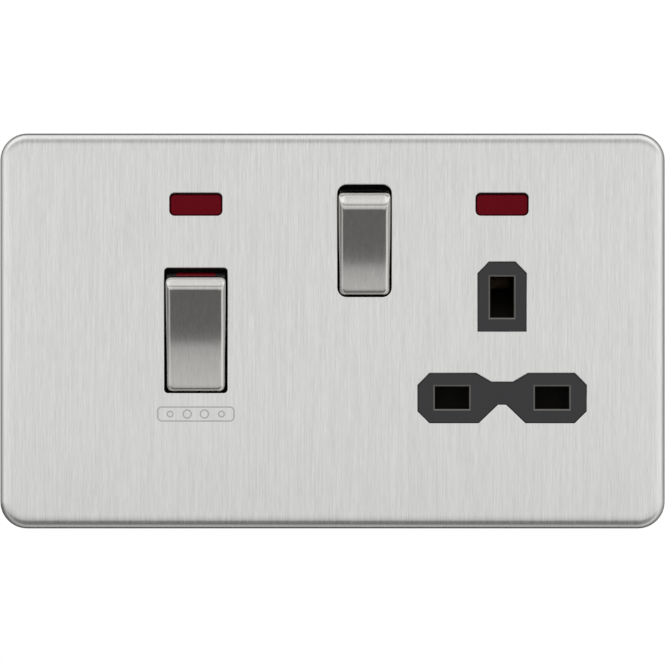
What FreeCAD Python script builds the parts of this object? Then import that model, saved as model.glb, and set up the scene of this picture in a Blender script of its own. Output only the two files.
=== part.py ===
import FreeCAD, Part
import math
import os

from FreeCAD import Vector

# A two-gang cooker control unit: a double-pole cooker switch, a switched three-pin socket and two neon
# indicators behind a metal cover that clips over the fixing screws.
# The wall plane is y = 0, the front looks along -Y, +X is right as seen from the front and +Z is up. The
# origin is midway between the two fixing holes, in the wall plane. All sizes are in millimetres.

# Cover
PLATE_WIDTH = 147.5
PLATE_HEIGHT = 87.7
PLATE_CORNER = 6.0
PLATE_PROUD = 5.0  # from the wall to the front face
PLATE_SHEET = 1.0
PLATE_ROLL = 1.6  # radius of the rolled edge
PLATE_OFF_WALL = 0.4

# Places of the visible parts
COOKER_IN = 25.7  # from the left end of the housing
COOKER_Z = 0.1
SWITCH_X = 7.1
SWITCH_DOWN = 14.0  # from the top of the housing
SOCKET_IN = 18.4  # from the right end of the housing
EARTH_PIN_Z = 7.5
LINE_PIN_UP = 19.2  # from the bottom of the housing
NEON_DOWN = 5.9  # from the top of the housing

# Apertures in the cover
COOKER_OPENING = (14.0, 27.7, 0.8)  # width, height, corner radius
SWITCH_OPENING = (12.0, 24.9, 2.0)
NEON_OPENING = (11.7, 5.0, 1.1)
OPENING_GAP = 0.1  # between a moulding and the aperture it fills
EARTH_PAD = (10.8, 15.4)
EARTH_PAD_Z = EARTH_PIN_Z + 0.1
EARTH_PAD_CHAMFER = 2.5
LINE_PAD = (37.4, 11.0)
LINE_PAD_CHAMFER = 2.6
LINE_PAD_DROP = 0.1  # from the line pins
TOP_NOTCH = (1.95, 4.8, 11.5)  # depth, width of the floor, width of the mouth
BOTTOM_NOTCH = (4.1, 1.85, 10.4)

# Pins of the plug, and the holes for them
PIN_PITCH = 22.2
LINE_HOLE = (7.7, 5.1)
EARTH_HOLE = (5.4, 9.2)
HOLE_CHAMFER = 0.3
PIN_THICK = 4.0

# Front frame
FRAME_GAP = 0.2  # between the frame and the cover's skirt
COVER_GAP = 0.1  # between the frame's panel and the back of the cover
PANEL = 2.0
FRAME_WALL = 2.6
FIXING_PITCH = 120.6
FIXING_HOLE = 2.0  # radius, for an M3.5 screw
FIXING_HEAD = 3.6  # radius of the recess for its head
FIXING_SEAT = 1.4
FIXING_BOSS = 4.2
WELL_WALL = 1.2
WELL_DEPTH = 10.4
WELL_FLOOR = 1.0
BUSH_ROOM = 0.3  # round the plungers' bushes in the well's floor
PAD_BEHIND = 2.7  # thickness of the socket's moulding behind the panel

# Rear housing
HOUSING_WIDTH = 112.0
HOUSING_EDGE = 9.85  # from the cover's upper and lower edges to the housing's
HOUSING_WALL = 1.6
HOUSING_CORNER = 2.5

# Rockers, as seen with the rocker level
ROCKER_PIVOT = 0.6  # behind the wall plane
ROCKER_TILT = 6.5  # degrees to each side of level
ROCKER_FACE = 7.2  # from the pivot to the ends of the face
ROCKER_HOLLOW = 0.6  # depth of the curve across the face
ROCKER_END_ROUND = 2.4
ROCKER_SIDE_ROUND = 1.0
ROCKER_DRAFT = 0.45
ROCKER_BACK = 1.0
CAP_WALL = 0.6
CAP_SKIRT = 4.4  # from the pivot to the cap's rim
CAP_GAP = 0.05
COOKER_CAP = (12.8, 25.4)  # width, length
SWITCH_CAP = (10.9, 22.9)
TRUNNION = 1.5
TRUNNION_GAP = 0.06
TRUNNION_REACH = 1.0  # length of the trunnion inside its bearing
FLAG = (8.6, 3.4, 0.6)  # width, depth, thickness
FLAG_START = 0.15  # behind the cap's rim
FLAG_PROUD = 0.05
FLAG_GAP = 0.03
HUB = 3.0  # half the height of the rocker's hub
HUB_FLARE = 1.8  # how much wider it is where it meets the rocker
HUB_WALL = 0.3  # behind the trunnion
ROCKER_SIDE = 1.2  # walls of the hollows in the rocker's back
ROCKER_FLOOR = 1.6
ROCKER_END = 1.4
ROOT = 0.5  # how far the hub and the bushes start inside the rocker

# Plungers, which snap the contact arms over
PLUNGER = 1.6
PLUNGER_GAP = 0.08
PLUNGER_LENGTH = 6.0
PLUNGER_REACH = 8.5  # from the rocker's pivot to the centre of the nose
PLUNGER_NOSE = 1.2
PLUNGER_TAPER = 0.9
PLUNGER_BUSH = 0.8  # wall round the plunger
PLUNGER_PITCH = 6.6
BUSH_REACH = 5.0
SPRING_WIRE = 0.35
SPRING_LENGTH = 4.2
SPRING_SLACK = 0.1
PLUNGER_TRAVEL = 0.35  # room that the spring leaves for the plunger to be pushed home

# Contact arms
ARM_WIDTH = 4.6
ARM_HALF = 10.8
ARM_SHEET = 1.0
ARM_CORNER = 1.0
ARM_FACE = 1.7  # from the fulcrum's axis to the front of the arm
FULCRUM = 0.8
FULCRUM_INSET = 0.2  # from the arm's sides
FULCRUM_GAP = 0.06
SADDLE = 0.7  # thickness of the arm's saddle round the fulcrum
NOSE_GAP = 0.08
TIP = 1.5  # radius of a silver contact
TIP_HEIGHT = 0.8
TIP_DOME = 0.35
TIP_PLACE = 9.2  # from the fulcrum along the arm
TIP_GAP = 0.04

# Strips, terminals and screws
STRIP = 0.8
TERMINAL_WIDTH = 10.0
TERMINAL_HEIGHT = 10.0
TERMINAL_DEPTH = 11.5
TERMINAL_BORE = 3.2
TERMINAL_FRONT_WALL = 1.5
TERMINAL_SPREAD = 12.3  # of the live and neutral terminals, to each side of the cooker switch
SUPPLY_EARTH_IN = 29.0  # from the right end of the housing
LOAD_EARTH_X = 4.0
SCREW_SHANK = 1.95
SCREW_HEAD = 3.0
SCREW_GAP = 0.05
SCREW_ACCESS = 3.6
ENTRY = 4.2  # radius of a cable's hole in the housing's wall

# Shutter and its carrier
SHUTTER_SHEET = 2.6
SHUTTER_GAP = 0.1
SHUTTER_TRAVEL = 6.2
SHUTTER_LAP = 0.85  # of the blade above and below a line hole
SHUTTER_SIDE_LAP = 0.5  # and beside it
SHUTTER_STEM = 6.0
RAMP_OUT = 0.4  # of the ramp, beyond the carrier
RAMP_RISE = 0.4  # more than the shutter's travel
RAMP_FOOT = 8.0
RAMP_TOE = 6.0
CARRIER = 1.6
CARRIER_WALL = 1.0
CARRIER_TOP = 16.5
CARRIER_TAIL = 2.6  # half the width of the spring's channel
CARRIER_TAIL_WALL = 0.8
CARRIER_TAIL_OFF = 1.8  # from the tail's end to the housing's wall
STEM_GAP = 0.3
SHUTTER_CORNER = 0.8
SHUTTER_SPRING = 1.25

# Pin contacts
LEAF = 0.6
LEAF_GRIP = 0.05  # from a leaf to the pin, before the pin springs it open
LEAF_REACH = PIN_THICK / 2 + LEAF_GRIP + LEAF / 2  # to the middle of each leaf where they grip
LEAF_SPREAD = LEAF_REACH + 0.55  # the same at the folded end
LEAF_FLARE = LEAF_REACH + 0.95  # and at the lips
LEAF_LIP = 1.2  # length of the flared lips
LEAF_BEND = 1.5  # from the folded end to where the leaves start to close in
LINE_LEAF_HALF = 3.2  # half the width of a line pin's leaf
EARTH_LEAF_HALF = 4.0
LINE_LEAF_OFF = 0.4  # from the carrier to the lips of the line contacts
EARTH_LEAF_OFF = 1.4
EARTH_LAND = 4.5  # half the height of the earth bar behind its contact

# Neon indicators
LENS_WINDOW = (11.2, 4.4, 0.9)  # width, height and corner radius of the part that stands in the opening
LENS_DROP = 0.15  # how far its middle lies below the opening's
LENS_RECESS = 0.3
LENS_CHAMFER = 0.15
LENS_FLANGE = (13.4, 7.0, 1.2)  # width, height, thickness
LAMP = 1.9
LAMP_LENGTH = 8.6
LAMP_PIP = 1.2  # length of the drawn end of the glass
PIP_WALL = 0.15
LAMP_Y = 1.8
LEAD = 0.45
RESISTOR = 1.15
RESISTOR_LENGTH = 6.0
RESISTOR_Z = 12.0
LEAD_Y = 7.2
LEAD_OUT = 3.5  # from the lens's flange to the leads that run down beside it
LEAD_DROP = 4.0
COOKER_LEAD_Z = -6.0
LIVE_LEAD_END = (-1.7, 2.0)  # x from the live pin, and z
NEUTRAL_LEAD_IN = 2.5  # from the neutral pin

# Clips and small fasteners
CLIP_X = 45.0
CLIP_WIDTH = 9.0
CLIP_SHEET = 0.4
CLIP_NOTCH = 1.6
CLIP_START = 0.7  # from the frame's front to the clip's fold
CLIP_FOLD = (0.3, 0.55)
CLIP_END = 0.3
CLIP_TAIL = (0.2, 0.7)
CLIP_TOUCH = 0.05
HOUSING_SCREW_IN = (3.1, 4.2)  # from the housing's side and end walls to its screws
PILLAR = 2.9
PILLAR_TOP = 3.0
PILOT = 1.15
HOUSING_SCREW_HEAD = 2.2
HOUSING_SCREW_SEAT = 6.5

# Moulded details of the frame and the housing
RIB = 1.2
RIB_OFF_WALL = 0.6
FRAME_RIB_X = (-44.0, -22.0, 0.0, 22.0, 44.0)
FRAME_RIB_Z = (-24.0, -12.0, 12.0, 24.0)
POST = 1.0  # thickness of the posts that hold the lamps' leads
POST_OUT = 0.4  # from the lens's flange
POST_HALF = 1.7
POST_TOP = 1.2  # beyond the lamp's axis
HOUSING_BOSS = 3.4  # radius of the moulded column round each housing screw
BACK_ROUND = 1.2
POCKET = 1.0  # thickness of the ribs beside each terminal
POCKET_GAP = 0.1
POCKET_HEIGHT = 6.0
SCREW_CLEAR = 0.15
HEAD_CLEAR = 0.3
ENTRY_LIP = 0.01
SUPPORT = 1.2  # thickness of the ribs that carry the strips
SUPPORT_LENGTH = 8.0
MERGE = 0.1  # how far a rib starts inside the wall that it grows from
PAST = 1.0  # how far a cutter runs past its faces, and what stands on the panel starts inside it

# Details of the screws, the strips and the rockers
TERMINAL_CORNER = 0.6
SCREW_OFF_BORE = 0.3
HEAD_THICK = 1.3
HEAD_OFF = 0.1  # from the housing's floor
SLOT = (0.9, 0.7)  # width and depth of a screw's slot
CROSS = (1.4, 0.35)  # half length and half width of a cross recess
STRIP_INSET = 0.5  # from a strip's edge to the side of its terminal
STRIP_SPLIT = 0.6  # half the gap between two strips on one terminal
STRIP_WIDTH = 4.0
ARM_PAD = 2.0  # from the middle of a silver contact to the end of its strip
BRACKET_TOP = 2.4  # above the fulcrum
BRACKET_OUTER = 4.0  # below the fulcrum, where a load bracket's outer edge reaches the terminal's side
BRACKET_INNER = (8.0, 16.0)  # below the fulcrum, where its inner edge starts and ends to widen
PIN_PAD = (2.2, 2.3, 2.6)  # from a line pin's middle to the left, right and lower edges of its strip
NEUTRAL_SPAN_Z = 2.0  # lower edge of the neutral strip's long span
BUS_LAND = 1.0
BUS_FORWARD = 3.4  # of the live busbar's long span, clear of the neutral strip that it crosses
BUS_JOG = 2.5
EARTH_LEAF_X = LOAD_EARTH_X + TERMINAL_WIDTH / 2 + STRIP_WIDTH / 2
EARTH_LEAF_Z = -8.0
EARTH_LEAF_WIDTH = 3.0
EARTH_LEAF_SHEET = 0.5
EARTH_LEAF_DROP = 6.5
EARTH_LEAF_FOOT = 5.0  # length of the foot on the earth bar
EARTH_LEAF_NECK = 1.2
EARTH_LEAF_TOE = (0.6, 1.5)
EARTH_LEAF_ROOM = (0.5, 1.2)  # in the frame's slot, beside the leaf and above and below it
LEAF_TOUCH = 0.05

# Depths worked out from the sizes above
FACE_Y = -PLATE_PROUD
COVER_BACK = FACE_Y + PLATE_SHEET
PANEL_FRONT = COVER_BACK + COVER_GAP
PANEL_BACK = PANEL_FRONT + PANEL
PAD_BACK = PANEL_BACK + PAD_BEHIND
WELL_BACK = PANEL_FRONT + WELL_DEPTH
TILT = math.radians(ROCKER_TILT)
ARM_AXIS_Y = ROCKER_PIVOT + PLUNGER_REACH + PLUNGER_NOSE + ARM_FACE + NOSE_GAP
TIP_BALL = (TIP ** 2 + TIP_DOME ** 2) / (2 * TIP_DOME)
TIP_BALL_Y = ARM_SHEET + TIP_HEIGHT - ARM_FACE - TIP_BALL
FIXED_TIP_Y = ARM_AXIS_Y + TIP_BALL_Y * math.cos(TILT) + TIP_PLACE * math.sin(TILT) + TIP_BALL + TIP_GAP
STRIP_FRONT = FIXED_TIP_Y + TIP_HEIGHT
STRIP_BACK = STRIP_FRONT + STRIP
BORE_Y = STRIP_BACK + TERMINAL_FRONT_WALL + TERMINAL_BORE
FLOOR_Y = STRIP_BACK + TERMINAL_DEPTH
HOUSING_BACK = FLOOR_Y + HOUSING_WALL
HOUSING_HEIGHT = PLATE_HEIGHT - 2 * HOUSING_EDGE
COOKER_X = COOKER_IN - HOUSING_WIDTH / 2
SOCKET_X = HOUSING_WIDTH / 2 - SOCKET_IN
SUPPLY_EARTH_X = HOUSING_WIDTH / 2 - SUPPLY_EARTH_IN
SWITCH_Z = HOUSING_HEIGHT / 2 - SWITCH_DOWN
NEON_Z = HOUSING_HEIGHT / 2 - NEON_DOWN
LINE_PIN_Z = LINE_PIN_UP - HOUSING_HEIGHT / 2
LINE_PAD_Z = LINE_PIN_Z - LINE_PAD_DROP
HOUSING_INNER_X = HOUSING_WIDTH / 2 - HOUSING_WALL
HOUSING_INNER_Z = HOUSING_HEIGHT / 2 - HOUSING_WALL
SHUTTER_FRONT = PAD_BACK + SHUTTER_GAP
SHUTTER_BACK = SHUTTER_FRONT + SHUTTER_SHEET
CARRIER_FRONT = SHUTTER_BACK + SHUTTER_GAP
CARRIER_BACK = CARRIER_FRONT + CARRIER
CARRIER_TAIL_END = CARRIER_TAIL_OFF - HOUSING_INNER_Z
RAMP_BACK = CARRIER_BACK + RAMP_OUT
LINE_LEAF_FRONT = CARRIER_BACK + LINE_LEAF_OFF
EARTH_LEAF_FRONT = CARRIER_BACK + EARTH_LEAF_OFF
EARTH_BAR_Y = BORE_Y - STRIP
NEUTRAL_PIN_X = SOCKET_X - PIN_PITCH / 2
LIVE_PIN_X = SOCKET_X + PIN_PITCH / 2
LIVE, NEUTRAL = -1, 1


def box(x0, x1, y0, y1, z0, z1):
    return Part.makeBox(x1 - x0, y1 - y0, z1 - z0, Vector(x0, y0, z0))


def rod(radius, start, end):
    along = Vector(*end) - Vector(*start)
    return Part.makeCylinder(radius, along.Length, Vector(*start), along)


def ball(radius, centre):
    return Part.makeSphere(radius, Vector(*centre))


def closed(points):
    return Part.Face(Part.makePolygon(points + points[:1]))


def plan(points, y0, y1):
    """An outline of (x, z) points, carried from y0 to y1."""
    return closed([Vector(x, y0, z) for x, z in points]).extrude(Vector(0, y1 - y0, 0))


def side(points, x0, x1):
    """An outline of (y, z) points, carried from x0 to x1."""
    return closed([Vector(x0, y, z) for y, z in points]).extrude(Vector(x1 - x0, 0, 0))


def top(points, z0, z1):
    """An outline of (x, y) points, carried from z0 to z1."""
    return closed([Vector(x, y, z0) for x, y in points]).extrude(Vector(0, 0, z1 - z0))


def slab(width, height, corner, x, z, y0, y1):
    """A plate with rounded corners, centred on (x, z)."""
    solid = box(x - width / 2, x + width / 2, y0, y1, z - height / 2, z + height / 2)
    uprights = [edge for edge in solid.Edges if abs(edge.tangentAt(edge.FirstParameter).y) > 0.99]
    return solid.makeFillet(corner, uprights)


def rectangle_wire(width, height, x, z, y):
    half_w, half_h = width / 2, height / 2
    corners = [(-half_w, -half_h), (half_w, -half_h), (half_w, half_h), (-half_w, half_h)]
    points = [Vector(x + u, y, z + v) for u, v in corners]
    return Part.makePolygon(points + points[:1])


def flared_hole(width, height, x, z, y0, y1):
    """The cutter for a pin's hole, with a small chamfer at its mouth."""
    mouth = rectangle_wire(width + 2 * HOLE_CHAMFER, height + 2 * HOLE_CHAMFER, x, z, y0)
    throat = rectangle_wire(width, height, x, z, y0 + HOLE_CHAMFER)
    straight = box(x - width / 2, x + width / 2, y0, y1, z - height / 2, z + height / 2)
    return Part.makeLoft([mouth, throat], True).fuse(straight)


def folded(path, sheet):
    """The outline of a sheet of even thickness folded along path, with mitred folds."""
    near, far = [], []
    for i, (u, v) in enumerate(path):
        sides = []
        for a, b in ((i - 1, i), (i, i + 1)):
            if a >= 0 and b < len(path):
                du, dv = path[b][0] - path[a][0], path[b][1] - path[a][1]
                length = math.hypot(du, dv)
                sides.append((-dv / length, du / length))
        nu = sum(n[0] for n in sides) / len(sides)
        nv = sum(n[1] for n in sides) / len(sides)
        reach = sheet / 2 / (nu * nu + nv * nv)
        near.append((u + nu * reach, v + nv * reach))
        far.append((u - nu * reach, v - nv * reach))
    return near + far[::-1]


def join(first, *others):
    return first.fuse(list(others)).removeSplitter()


def carve(solid, *cutters):
    return solid.cut(list(cutters))


def turned(shape, degrees, y, z):
    """A copy of the shape turned about an axis along X."""
    copy = shape.copy()
    copy.rotate(Vector(0, y, z), Vector(1, 0, 0), degrees)
    return copy


def moved(shape, x, y, z):
    copy = shape.copy()
    copy.translate(Vector(x, y, z))
    return copy


def pin_holes(y0, y1, cutter):
    """The three pin holes, cut by the given function from y0 to y1."""
    holes = [cutter(*LINE_HOLE, x, LINE_PIN_Z, y0, y1) for x in (NEUTRAL_PIN_X, LIVE_PIN_X)]
    return holes + [cutter(*EARTH_HOLE, SOCKET_X, EARTH_PIN_Z, y0, y1)]


def plain_hole(width, height, x, z, y0, y1):
    return box(x - width / 2, x + width / 2, y0, y1, z - height / 2, z + height / 2)


def earth_pad(grow, y0, y1):
    """The pad round the earth hole, with its top corners cut off."""
    half, chamfer = EARTH_PAD[0] / 2 + grow, EARTH_PAD_CHAMFER
    low = EARTH_PAD_Z - EARTH_PAD[1] / 2 - grow
    high = EARTH_PAD_Z + EARTH_PAD[1] / 2 + grow
    outline = [(-half, low), (half, low), (half, high - chamfer), (half - chamfer, high),
               (chamfer - half, high), (-half, high - chamfer)]
    return plan([(SOCKET_X + x, z) for x, z in outline], y0, y1)


def line_pad(grow, y0, y1):
    """The pad round the two line holes: chamfered ends joined by a neck notched above and below."""
    half, rise, chamfer = LINE_PAD[0] / 2 + grow, LINE_PAD[1] / 2 + grow, LINE_PAD_CHAMFER
    right = [
        (TOP_NOTCH[1] / 2 - grow, rise - TOP_NOTCH[0]),
        (TOP_NOTCH[2] / 2 - grow, rise),
        (half - chamfer, rise),
        (half, rise - chamfer),
        (half, chamfer - rise),
        (half - chamfer, -rise),
        (BOTTOM_NOTCH[2] / 2 - grow, -rise),
        (BOTTOM_NOTCH[1] / 2 - grow, BOTTOM_NOTCH[0] - rise),
    ]
    outline = right + [(-x, z) for x, z in reversed(right)]
    return plan([(SOCKET_X + x, LINE_PAD_Z + z) for x, z in outline], y0, y1)


def front_plate():
    """The formed cover: a flat face with a rolled edge and a short skirt."""
    outer = slab(PLATE_WIDTH, PLATE_HEIGHT, PLATE_CORNER, 0, 0, FACE_Y, -PLATE_OFF_WALL)
    outer = outer.makeFillet(PLATE_ROLL, edges_at(outer, FACE_Y))
    inner = slab(PLATE_WIDTH - 2 * PLATE_SHEET, PLATE_HEIGHT - 2 * PLATE_SHEET, PLATE_CORNER - PLATE_SHEET, 0,
                 0, COVER_BACK, 1)
    inner = inner.makeFillet(PLATE_ROLL - PLATE_SHEET, edges_at(inner, COVER_BACK))
    front, back = FACE_Y - PAST, COVER_BACK + PAST
    openings = [slab(*COOKER_OPENING, COOKER_X, COOKER_Z, front, back),
                slab(*SWITCH_OPENING, SWITCH_X, SWITCH_Z, front, back),
                earth_pad(0, front, back), line_pad(0, front, back)]
    openings += [slab(*NEON_OPENING, x, NEON_Z, front, back) for x in (COOKER_X, SOCKET_X)]
    return carve(outer, inner, *openings)


def edges_at(solid, y):
    """The edges that lie in the plane of the given y."""
    return [edge for edge in solid.Edges if all(abs(v.Y - y) < 1e-6 for v in edge.Vertexes)]


def well_size(opening):
    return opening[0] + 2 * OPENING_GAP, opening[1] + 2 * OPENING_GAP


def well(opening, x, z):
    """The tube that a rocker sits in."""
    width, height = well_size(opening)
    return slab(width + 2 * WELL_WALL, height + 2 * WELL_WALL, opening[2] + WELL_WALL, x, z, PANEL_FRONT,
                WELL_BACK)


def well_cut(opening, x, z, spread):
    """The inside of the well, with the trunnions' bearings and a way through its floor for the plungers."""
    width, height = well_size(opening)
    inside = slab(width, height, opening[2], x, z, PANEL_FRONT - PAST, WELL_BACK - WELL_FLOOR)
    bush = PLUNGER + PLUNGER_GAP + PLUNGER_BUSH
    half, rise = spread + bush + BUSH_ROOM, bush + BUSH_REACH * math.sin(TILT) + BUSH_ROOM
    way = box(x - half, x + half, ROCKER_PIVOT, WELL_BACK + PAST, z - rise, z + rise)
    reach = width / 2 + TRUNNION_REACH + OPENING_GAP
    bearing = rod(TRUNNION + TRUNNION_GAP, (x - reach, ROCKER_PIVOT, z), (x + reach, ROCKER_PIVOT, z))
    return inside.fuse([way, bearing])


def clip_places():
    """Where the clips stand: x, and +1 or -1 for the upper or lower edge."""
    return [(x, edge) for x in (-CLIP_X, CLIP_X) for edge in (1, -1)]


def pillar_places():
    x, z = HOUSING_INNER_X - HOUSING_SCREW_IN[0], HOUSING_INNER_Z - HOUSING_SCREW_IN[1]
    return [(-x, -z), (-x, z), (x, -z), (x, z)]


def front_frame():
    """The moulding behind the cover, which carries the wells, the socket's pads and the fixing holes."""
    width = PLATE_WIDTH - 2 * PLATE_SHEET - 2 * FRAME_GAP
    height = PLATE_HEIGHT - 2 * PLATE_SHEET - 2 * FRAME_GAP
    corner = PLATE_CORNER - PLATE_SHEET - FRAME_GAP
    body = slab(width, height, corner, 0, 0, PANEL_FRONT, 0)
    body = body.makeFillet(PLATE_ROLL - PLATE_SHEET, edges_at(body, PANEL_FRONT))
    hollow = slab(width - 2 * FRAME_WALL, height - 2 * FRAME_WALL, corner - FRAME_WALL, 0, 0, PANEL_BACK, 1)
    body = carve(body, hollow)
    bosses = [rod(FIXING_BOSS, (x, PANEL_FRONT, 0), (x, 0, 0)) for x in fixing_places()]
    wells = [well(COOKER_OPENING, COOKER_X, COOKER_Z), well(SWITCH_OPENING, SWITCH_X, SWITCH_Z)]
    pads = [earth_pad(-OPENING_GAP, FACE_Y, PANEL_BACK), line_pad(-OPENING_GAP, FACE_Y, PANEL_BACK),
            *carrier_area(PANEL_BACK - PAST, PAD_BACK)]
    pillars = [rod(PILLAR, (x, PANEL_BACK - PAST, z), (x, PILLAR_TOP, z)) for x, z in pillar_places()]
    body = join(body, *bosses, *wells, *pads, *pillars, *frame_ribs(width, height), *lamp_cradles())
    cuts = [well_cut(COOKER_OPENING, COOKER_X, COOKER_Z, PLUNGER_PITCH / 2),
            well_cut(SWITCH_OPENING, SWITCH_X, SWITCH_Z, 0)]
    cuts += pin_holes(FACE_Y, PAD_BACK + PAST, flared_hole)
    cuts += [slab(*NEON_OPENING, x, NEON_Z, PANEL_FRONT - PAST, PANEL_BACK + PAST)
             for x in (COOKER_X, SOCKET_X)]
    for x in fixing_places():
        cuts += [rod(FIXING_HOLE, (x, PANEL_FRONT - PAST, 0), (x, 1, 0)),
                 rod(FIXING_HEAD, (x, PANEL_FRONT - PAST, 0), (x, -FIXING_SEAT, 0))]
    cuts += [rod(PILOT, (x, PANEL_BACK, z), (x, PILLAR_TOP + PAST, z)) for x, z in pillar_places()]
    for x, edge in clip_places():
        low, high = sorted((edge * (height / 2 - CLIP_NOTCH), edge * (height / 2 + 1)))
        cuts.append(box(x - CLIP_WIDTH / 2 - OPENING_GAP, x + CLIP_WIDTH / 2 + OPENING_GAP,
                        PANEL_FRONT - PAST, -PLATE_OFF_WALL, low, high))
    cuts.append(earth_leaf_slot())
    return carve(body, *cuts)


def fixing_places():
    return (-FIXING_PITCH / 2, FIXING_PITCH / 2)


def carrier_left():
    return NEUTRAL_PIN_X - LINE_HOLE[0] / 2 - SHUTTER_SIDE_LAP - 2 * SHUTTER_GAP - CARRIER_WALL


def carrier_right():
    return LIVE_PIN_X + LINE_HOLE[0] / 2 + SHUTTER_SIDE_LAP + 2 * SHUTTER_GAP + CARRIER_WALL


def blade_low():
    return LINE_PIN_Z - LINE_HOLE[1] / 2 - SHUTTER_LAP


def blade_high():
    return LINE_PIN_Z + LINE_HOLE[1] / 2 + SHUTTER_LAP


def carrier_low():
    return blade_low() - SHUTTER_TRAVEL - 1.5 * SHUTTER_GAP


def carrier_area(y0, y1):
    """The area of the carrier and of the pad in front of the shutter: a field with a tail for the spring."""
    return [box(carrier_left(), carrier_right(), y0, y1, carrier_low(), CARRIER_TOP),
            box(SOCKET_X - CARRIER_TAIL, SOCKET_X + CARRIER_TAIL, y0, y1, CARRIER_TAIL_END,
                carrier_low() + PAST)]


def frame_ribs(width, height):
    """Stiffening ribs between the frame's edge and the rear housing."""
    end = -RIB_OFF_WALL
    out_x, out_z = width / 2 - FRAME_WALL / 2, height / 2 - FRAME_WALL / 2
    in_x, in_z = HOUSING_WIDTH / 2 + OPENING_GAP, HOUSING_HEIGHT / 2 + OPENING_GAP
    ribs = []
    for x in FRAME_RIB_X:
        for z0, z1 in ((in_z, out_z), (-out_z, -in_z)):
            ribs.append(box(x - RIB / 2, x + RIB / 2, PANEL_BACK - PAST, end, z0, z1))
    for z in FRAME_RIB_Z:
        for x0, x1 in ((in_x, out_x), (-out_x, -in_x)):
            ribs.append(box(x0, x1, PANEL_BACK - PAST, end, z - RIB / 2, z + RIB / 2))
    return ribs


def lamp_cradles():
    """A slotted post at each end of a window, which holds the lamp's lead."""
    posts = []
    for x in (COOKER_X, SOCKET_X):
        for edge in (-1, 1):
            middle = x + edge * (LENS_FLANGE[0] / 2 + POST_OUT + POST / 2)
            post = box(middle - POST / 2, middle + POST / 2, PANEL_BACK - PAST, LAMP_Y + POST_TOP,
                       NEON_Z - POST_HALF, NEON_Z + POST_HALF)
            slot = box(middle - POST, middle + POST, LAMP_Y - LEAD - OPENING_GAP, LAMP_Y + 2,
                       NEON_Z - LEAD - OPENING_GAP, NEON_Z + LEAD + OPENING_GAP)
            posts.append(carve(post, slot))
    return posts


def earth_leaf_slot():
    half = EARTH_LEAF_WIDTH / 2 + EARTH_LEAF_ROOM[0]
    return box(EARTH_LEAF_X - half, EARTH_LEAF_X + half, PANEL_FRONT - PAST, PANEL_BACK + PAST,
               EARTH_LEAF_Z - EARTH_LEAF_DROP - EARTH_LEAF_ROOM[1], EARTH_LEAF_Z + EARTH_LEAF_ROOM[1])


def terminal_places():
    """Each terminal's name, x and +1 for the upper row or -1 for the lower row."""
    live_x, neutral_x = COOKER_X - TERMINAL_SPREAD, COOKER_X + TERMINAL_SPREAD
    return [("supply_live_terminal", live_x, 1), ("supply_neutral_terminal", neutral_x, 1),
            ("supply_earth_terminal", SUPPLY_EARTH_X, 1), ("load_live_terminal", live_x, -1),
            ("load_neutral_terminal", neutral_x, -1), ("load_earth_terminal", LOAD_EARTH_X, -1)]


def terminal_span(row):
    """The lowest and highest z of a terminal in the upper or lower row."""
    return sorted((row * HOUSING_INNER_Z, row * (HOUSING_INNER_Z - TERMINAL_HEIGHT)))


def terminal_block(x, row):
    low, high = terminal_span(row)
    block = box(x - TERMINAL_WIDTH / 2, x + TERMINAL_WIDTH / 2, STRIP_BACK, FLOOR_Y, low, high)
    corners = [edge for edge in block.Edges if abs(edge.tangentAt(edge.FirstParameter).z) > 0.99]
    block = block.makeFillet(TERMINAL_CORNER, corners)
    bore = rod(TERMINAL_BORE, (x, BORE_Y, low - PAST), (x, BORE_Y, high + PAST))
    tapping = rod(SCREW_SHANK + SCREW_GAP, (x, BORE_Y, (low + high) / 2),
                  (x, FLOOR_Y + PAST, (low + high) / 2))
    return carve(block, bore, tapping)


def terminal_screws():
    """One slotted screw for each terminal, backed off clear of the cable's bore."""
    screws = []
    for _, x, row in terminal_places():
        z = sum(terminal_span(row)) / 2
        head = FLOOR_Y + HEAD_OFF
        shank = rod(SCREW_SHANK, (x, BORE_Y + TERMINAL_BORE + SCREW_OFF_BORE, z), (x, head, z))
        cap = rod(SCREW_HEAD, (x, head, z), (x, head + HEAD_THICK, z))
        slot = box(x - SCREW_HEAD, x + SCREW_HEAD, head + HEAD_THICK - SLOT[1], head + HEAD_THICK + PAST,
                   z - SLOT[0] / 2, z + SLOT[0] / 2)
        screws.append(carve(join(shank, cap), slot))
    return Part.makeCompound(screws)


def housing_screws():
    """The screws that hold the rear housing to the frame's pillars."""
    screws = []
    for x, z in pillar_places():
        shank = rod(PILOT - SCREW_GAP, (x, PANEL_BACK + PAST, z), (x, HOUSING_SCREW_SEAT, z))
        head = rod(HOUSING_SCREW_HEAD, (x, HOUSING_SCREW_SEAT, z), (x, HOUSING_SCREW_SEAT + HEAD_THICK, z))
        cross = [box(x - u, x + u, HOUSING_SCREW_SEAT + HEAD_THICK - SLOT[1],
                     HOUSING_SCREW_SEAT + HEAD_THICK + PAST, z - v, z + v) for u, v in (CROSS, CROSS[::-1])]
        screws.append(carve(join(shank, head), *cross))
    return Part.makeCompound(screws)


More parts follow.
